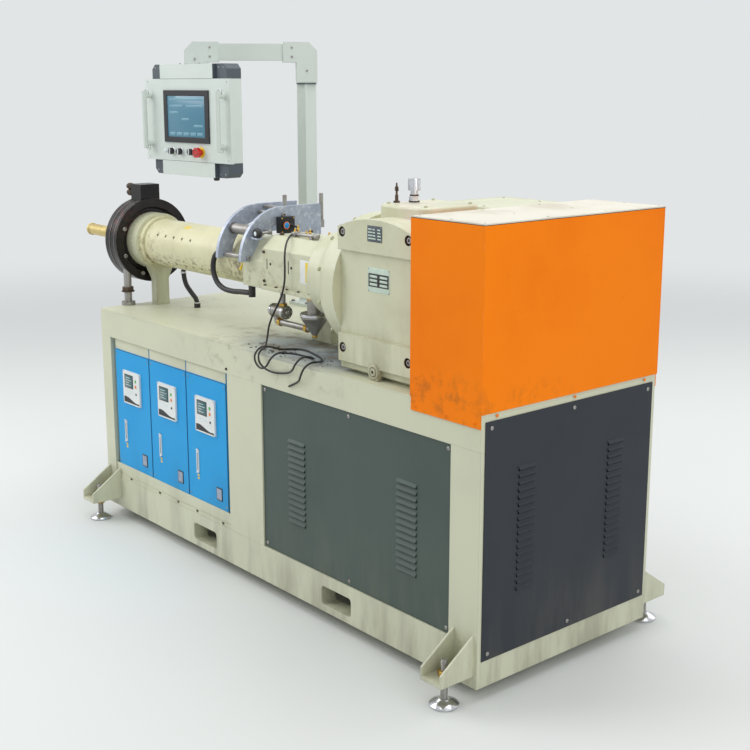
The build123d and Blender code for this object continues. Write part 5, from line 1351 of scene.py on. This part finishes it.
@dataclass
class PanelArm(Assembly):
    """Joints, bolts and seams of the post and the swinging arm.

    Attributes:
        post: the post's axis on the floor plan.
        angle: the arm's direction at rest, degrees.
        length: from the post's axis to the panel's.
        half: half of an elbow's outer width.
        reach: from a swivel's axis to its elbow's mouth.
    """

    post: tuple[float, float] = (486.0, 720.0)
    angle: float = 236.5
    length: float = 448.0
    half: float = 35.0
    reach: float = 95.0

    def build(self) -> None:
        """Add the fittings of the post, which ride on the base, and those of the arm's elbows."""
        base = Assembly(self.materials)
        base.add("post_foot_bolts", Look.STEEL, Shape().hex_bolts(7.5, *grid((438, 534), (672, 768), 898)))
        base.add("post_foot_weld", Look.PANEL, Shape().lathe(
            [(0, 0), (0, 46), (3, 43), (8, 40.5), (8, 0)], UP, 40, (*self.post, 897.5)))
        base.add("post_top_ring", Look.CORNER, Shape().ring(UP, 39.6, 1.6, 5, (*self.post, 1799)))
        frame = upright_frame(self.post, self.angle)
        seams, screws = Shape(frame), Shape(frame)
        for x in (self.reach, self.length - self.reach):
            seams.block((x - 1.2, -self.half - 0.6, 1883.2), (x + 1.2, self.half + 0.6, 1963.4), 0.4)
        for side, way in ((-1, NEAR), (1, FAR)):
            y = side * self.half
            screws.screws(SOCKET_HEAD, way, 4.5, (0, y, 1850), (self.length, y, 1895),
                          *grid((60, self.length - 60), y, (1905, 1941)))
        self.add("elbow_seams", Look.PANEL, seams)
        self.add("elbow_screws", Look.STEEL, screws)


@dataclass
class OperatorPanel(Assembly):
    """The operator panel's screen, controls and screws, given in the panel's own upright frame.

    Attributes:
        swivel: the swivel axis on the floor plan.
        turn: how far the panel is turned at rest, degrees.
        front: depth of the housing's front.
        back: depth of the rear door's outer face.
        glass: depth of the display's front.
        row: height of the row of controls.
        stop: the stop button's place along the panel.
    """

    swivel: tuple[float, float] = (238.732, 346.419)
    turn: float = 5.0
    front: float = -50.0
    back: float = 37.6
    glass: float = -54.5
    row: float = 1529.0
    stop: float = 90.0

    def shape(self) -> Shape:
        """An empty shape in the panel's own frame."""
        return Shape(upright_frame(self.swivel, self.turn))

    def build(self) -> None:
        """Add every fitting of the panel."""
        self.screen()
        self.controls()
        self.housing()

    def screen(self) -> None:
        """The lit display with plain bars."""
        self.add("panel_display", Look.GLASS,
                 self.shape().block((-123.5, self.glass, 1587.5), (123.5, self.glass + 2, 1750.5), 0.4))
        bars = self.shape()
        rows = [(-110, 220, 1733, 9), (-110, 90, 1706, 9), (0, 110, 1706, 9), (-110, 60, 1680, 9),
                (-30, 50, 1654, 9), (50, 60, 1628, 9)]
        keys = [(-110 + column * 45.5, 36, 1594, 12) for column in range(5)]
        for left, width, low, tall in rows + keys:
            bars.block((left, self.glass - 0.4, low), (left + width, self.glass + 0.4, low + tall), 0.2)
        self.add("panel_display_bars", Look.FAINT, bars)

    def controls(self) -> None:
        """Collars, levers, lamps, the stop button's plate and ring, and the end collars of both grips."""
        front, row = self.front, self.row
        selectors = (-100, -44, 29)
        self.add("control_collars", Look.CHROME, self.shape().lathe(
            [(0, 15.5), (2, 15.8), (4, 14.5), (4, 12.8)], NEAR, 28, *grid(selectors, front, row)))
        levers = self.shape()
        for x in selectors:
            levers.block((x - 2.2, front - 20.5, row - 11.5), (x + 2.2, front - 17, row + 11.5), 0.8)
        # The pale levers' glow is painted light
        self.add("control_levers", Look.PALE, levers)
        self.add("stop_button_plate", Look.YELLOW, self.shape().lathe(
            [(0, 22.5), (1.2, 22.5), (1.8, 20.5), (1.8, 0)], NEAR, 32, (self.stop, front, row)))
        self.add("stop_button_ring", Look.CORNER, self.shape().lathe(
            [(0, 12.5), (0.6, 13), (1.2, 12.5), (1.2, 11), (0.4, 10.5)], NEAR, 28,
            (self.stop, front - 30, row)))
        self.add("panel_lamps", Look.PALE, self.shape().lathe(
            [(0, 7.5), (2, 7.5), (3.5, 6.2), (5, 3), (5.4, 0)], NEAR, 20, *grid((-152, -128), front, row)))
        self.add("grip_collars", Look.CHROME,
                 self.shape().ring(NEAR, 11.2, 2, 4, *grid((-243, 243), front - 20, (1542.5, 1765.5))))

    def housing(self) -> None:
        """The housing's screws, rear door, cable gland and cap seams."""
        self.add("panel_screws_front", Look.STEEL, self.shape().screws(
            PAN_HEAD, NEAR, 2.8, *grid((-262, 262), self.front + 0.2, (1502, 1806))))
        self.add("panel_rear_door", Look.PANEL,
                 self.shape().block((-222, self.back - 2.4, 1512), (222, self.back, 1796), 1.2))
        locks = self.shape().lathe([(0, 11), (2.5, 11), (3.8, 9.5), (3.8, 4), (2.5, 3.6), (2.5, 0)], FAR, 24,
                                   *grid(196, self.back, (1560, 1748)))
        for z in (1546, 1654, 1762):
            locks.rod((-226, 37.5, z - 18), (-226, 37.5, z + 18), 4.2, 14, 0.8)
        self.add("panel_rear_locks", Look.CHROME, locks)
        self.add("panel_cable_gland", Look.CONTROL, self.shape().lathe(
            [(0, 0), (0, 15), (4, 15), (6, 12.5), (12, 12.5), (16, 9.5), (16, 6), (12, 5), (12, 0)], -UP, 24,
            (120, 0, 1432)))
        seams = self.shape()
        for x, (low, high) in product((-175, 175), ((1432.5, 1489.5), (1818.5, 1875.5))):
            seams.block((x - 0.6, self.front - 0.3, low), (x + 0.6, 36.3, high))
        for z in (1490, 1818):
            seams.block((-175.5, self.front - 0.3, z - 0.6), (175.5, 0, z + 0.6))
        self.add("panel_cap_seams", Look.CORNER, seams)
        self.add("panel_corner_screws", Look.CHROME, self.shape().screws(
            PAN_HEAD, NEAR, 2.6, *grid((-225, -195, 195, 225), -36, (1446.5, 1861.5))))
        self.add("panel_swivel_screws", Look.STEEL,
                 self.shape().screws(SOCKET_HEAD, UP, 4.2, *grid((-64, 64), (-28, 14), 1876)))


@dataclass
class GuideRoller(Assembly):
    """End rings and grip bands of the guide roller.

    Attributes:
        axis: the roller's axis, in depth and height.
        radius: its radius.
    """

    axis: tuple[float, float] = (161.84, 1274.392)
    radius: float = 20.0

    def build(self) -> None:
        """Add the roller's bands and its shaft's end rings."""
        self.add("roller_bands", Look.RUSTY, Shape().ring(
            RIGHT, self.radius - 0.4, 1.2, 2.5, *grid((770, 777, 885, 892), *self.axis)))
        ends = Shape()
        for x, way in ((740, LEFT), (922, RIGHT)):
            ends.lathe([(-3, 7.9), (-3, 9.8), (-1.2, 10.4), (0, 9.8), (0.6, 6), (-0.4, 2.2), (-0.4, 0)],
                       way, 24, (x, *self.axis))
        self.add("roller_shaft_rings", Look.STEEL, ends)


@dataclass
class Workshop:
    """The floor, the light and the camera around the machine.

    Attributes:
        camera_place: camera position, metres.
        yaw: camera turn to the left of +Y, radians.
        pitch: camera tilt downwards, radians.
        focal_share: focal length over the picture's width.
        shift: the picture's sideways and upward shift, as shares of its width.
        floor_size: side of the floor, metres.
        floor_fade: distances from the machine between which the floor turns into the backdrop.
        backdrop: the backdrop's colour.
        sky: colour of the even light.
        sky_light: its strength.
        lamp_aim: what the lamps point at, metres.
        lamps: name, place in metres, side in metres and watts of each soft lamp.
    """

    camera_place: Triple = (3.711, -2.768, 1.791)
    yaw: float = 0.8675
    pitch: float = 0.2149
    focal_share: float = 1.63
    shift: tuple[float, float] = (0.0, -0.03)
    floor_size: float = 60.0
    floor_fade: tuple[float, float] = (3.0, 9.0)
    backdrop: Triple = srgb(226, 229, 230)
    sky: Triple = srgb(228, 232, 234)
    sky_light: float = 0.62
    lamp_aim: Triple = (0.2, 0.0, 0.9)
    lamps: tuple[tuple[str, Triple, float, float], ...] = (("window light", (-3.5, -3.5, 4.2), 4.0, 170),
                                                           ("roof light", (0.5, 0.5, 5.0), 5.0, 130),
                                                           ("fill light", (5.0, -1.0, 2.6), 3.5, 60),
                                                           ("back light", (1.0, 5.0, 3.2), 4.0, 60))

    def build(self) -> None:
        """Make the floor, lamps, world and camera."""
        self.floor()
        for name, place, size, watts in self.lamps:
            data = bpy.data.lights.new(name, "AREA")
            data.size = size
            data.energy = watts
            self.aimed(name, data, place, Vector(self.lamp_aim) - Vector(place))
        self.world()
        self.camera()

    def aimed(self, name: str, data: bpy.types.ID, place: Triple, ahead: Vector) -> bpy.types.Object:
        """Put a lamp or camera in the scene.

        Args:
            name: its name.
            data: the lamp or camera data.
            place: its position, metres.
            ahead: the direction that it points in.

        Returns:
            The new object.
        """
        obj = placed(name, data)
        obj.location = place
        obj.rotation_euler = ahead.to_track_quat("-Z", "Y").to_euler()
        return obj

    def floor(self) -> None:
        """A plain pale floor that turns into the backdrop far from the machine."""
        ground = Shape()
        bmesh.ops.create_grid(ground.bm, x_segments=2, y_segments=2, size=self.floor_size / 2)
        obj = ground.object("floor")
        material = bpy.data.materials.new("pale floor")
        material.use_nodes = True
        paint = Painter(material)
        coords = paint.coords()
        tint = paint.mix(paint.times(paint.noise(coords, 0.8, 3.0, 0.5), 0.4), srgb(224, 226, 224),
                         srgb(215, 218, 216))
        paint.finish(tint, paint.ranged(paint.noise(coords, 3.0, 3.0, 0.5), 0.5, 0.65),
                     paint.noise(coords, 60.0, 2.0, 0.5), 0.0002)
        far = paint.ramp(paint.length(coords), *self.floor_fade)
        glow = paint.node("Emission", {"Color": self.backdrop}).outputs[0]
        paint.backed(paint.times(far, paint.seen()), paint.shader.outputs[0], glow, "Material Output")
        obj.data.materials.append(material)

    def world(self) -> None:
        """A soft grey light all round, seen as a pale backdrop."""
        world = bpy.data.worlds.new("studio")
        bpy.context.scene.world = world
        world.use_nodes = True
        paint = Painter(world)
        light = paint.tree.nodes["Background"]
        paint.join(light, {"Color": self.sky, "Strength": self.sky_light})
        sight = paint.node("Background", {"Color": self.backdrop})
        paint.backed(paint.seen(), light.outputs[0], sight.outputs[0], "World Output")

    def camera(self) -> None:
        """The camera at the photograph's viewing angle."""
        data = bpy.data.cameras.new("camera")
        data.sensor_width = 36.0
        data.lens = self.focal_share * data.sensor_width
        data.shift_x, data.shift_y = self.shift
        data.clip_end = 100.0
        ahead = Vector((-math.sin(self.yaw) * math.cos(self.pitch), math.cos(self.yaw) * math.cos(self.pitch),
                        -math.sin(self.pitch)))
        bpy.context.scene.camera = self.aimed("camera", data, self.camera_place, ahead)


def dress_nodes(frame: dict, materials: dict[Look, bpy.types.Material]) -> None:
    """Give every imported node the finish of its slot, or its own.

    Args:
        materials: the finished materials by look.
    """
    slots = {row["node"]: row["material_slot"] for row in frame["record"]["subparts"]}
    for name, obj in frame["nodes"].items():
        look = NODE_LOOKS.get(name, Look(slots[name]))
        obj.data.materials.clear()
        obj.data.materials.append(materials[look])
        LOG.info("dressed %s in %s", name, look.value)


def main() -> None:
    """Build the whole scene."""
    logging.basicConfig(level=logging.INFO, format="%(name)s %(message)s")
    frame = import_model()
    bpy.context.scene.view_settings.view_transform = "Standard"
    Workshop().build()
    materials = {look: finish.make(look.value) for look, finish in FINISHES.items()}
    dress_nodes(frame, materials)
    for assembly in (SensorCable(materials), BaseFrame(materials), UnitFronts(materials), Gearbox(materials),
                     FeedEnd(materials), BarrelAndHead(materials), DriveCover(materials),
                     PanelArm(materials, "arm"), OperatorPanel(materials, "panel"),
                     GuideRoller(materials, "roller")):
        assembly.build()
        LOG.info("built %s on %s", type(assembly).__name__, assembly.body)


if __name__ == "__main__":
    main()
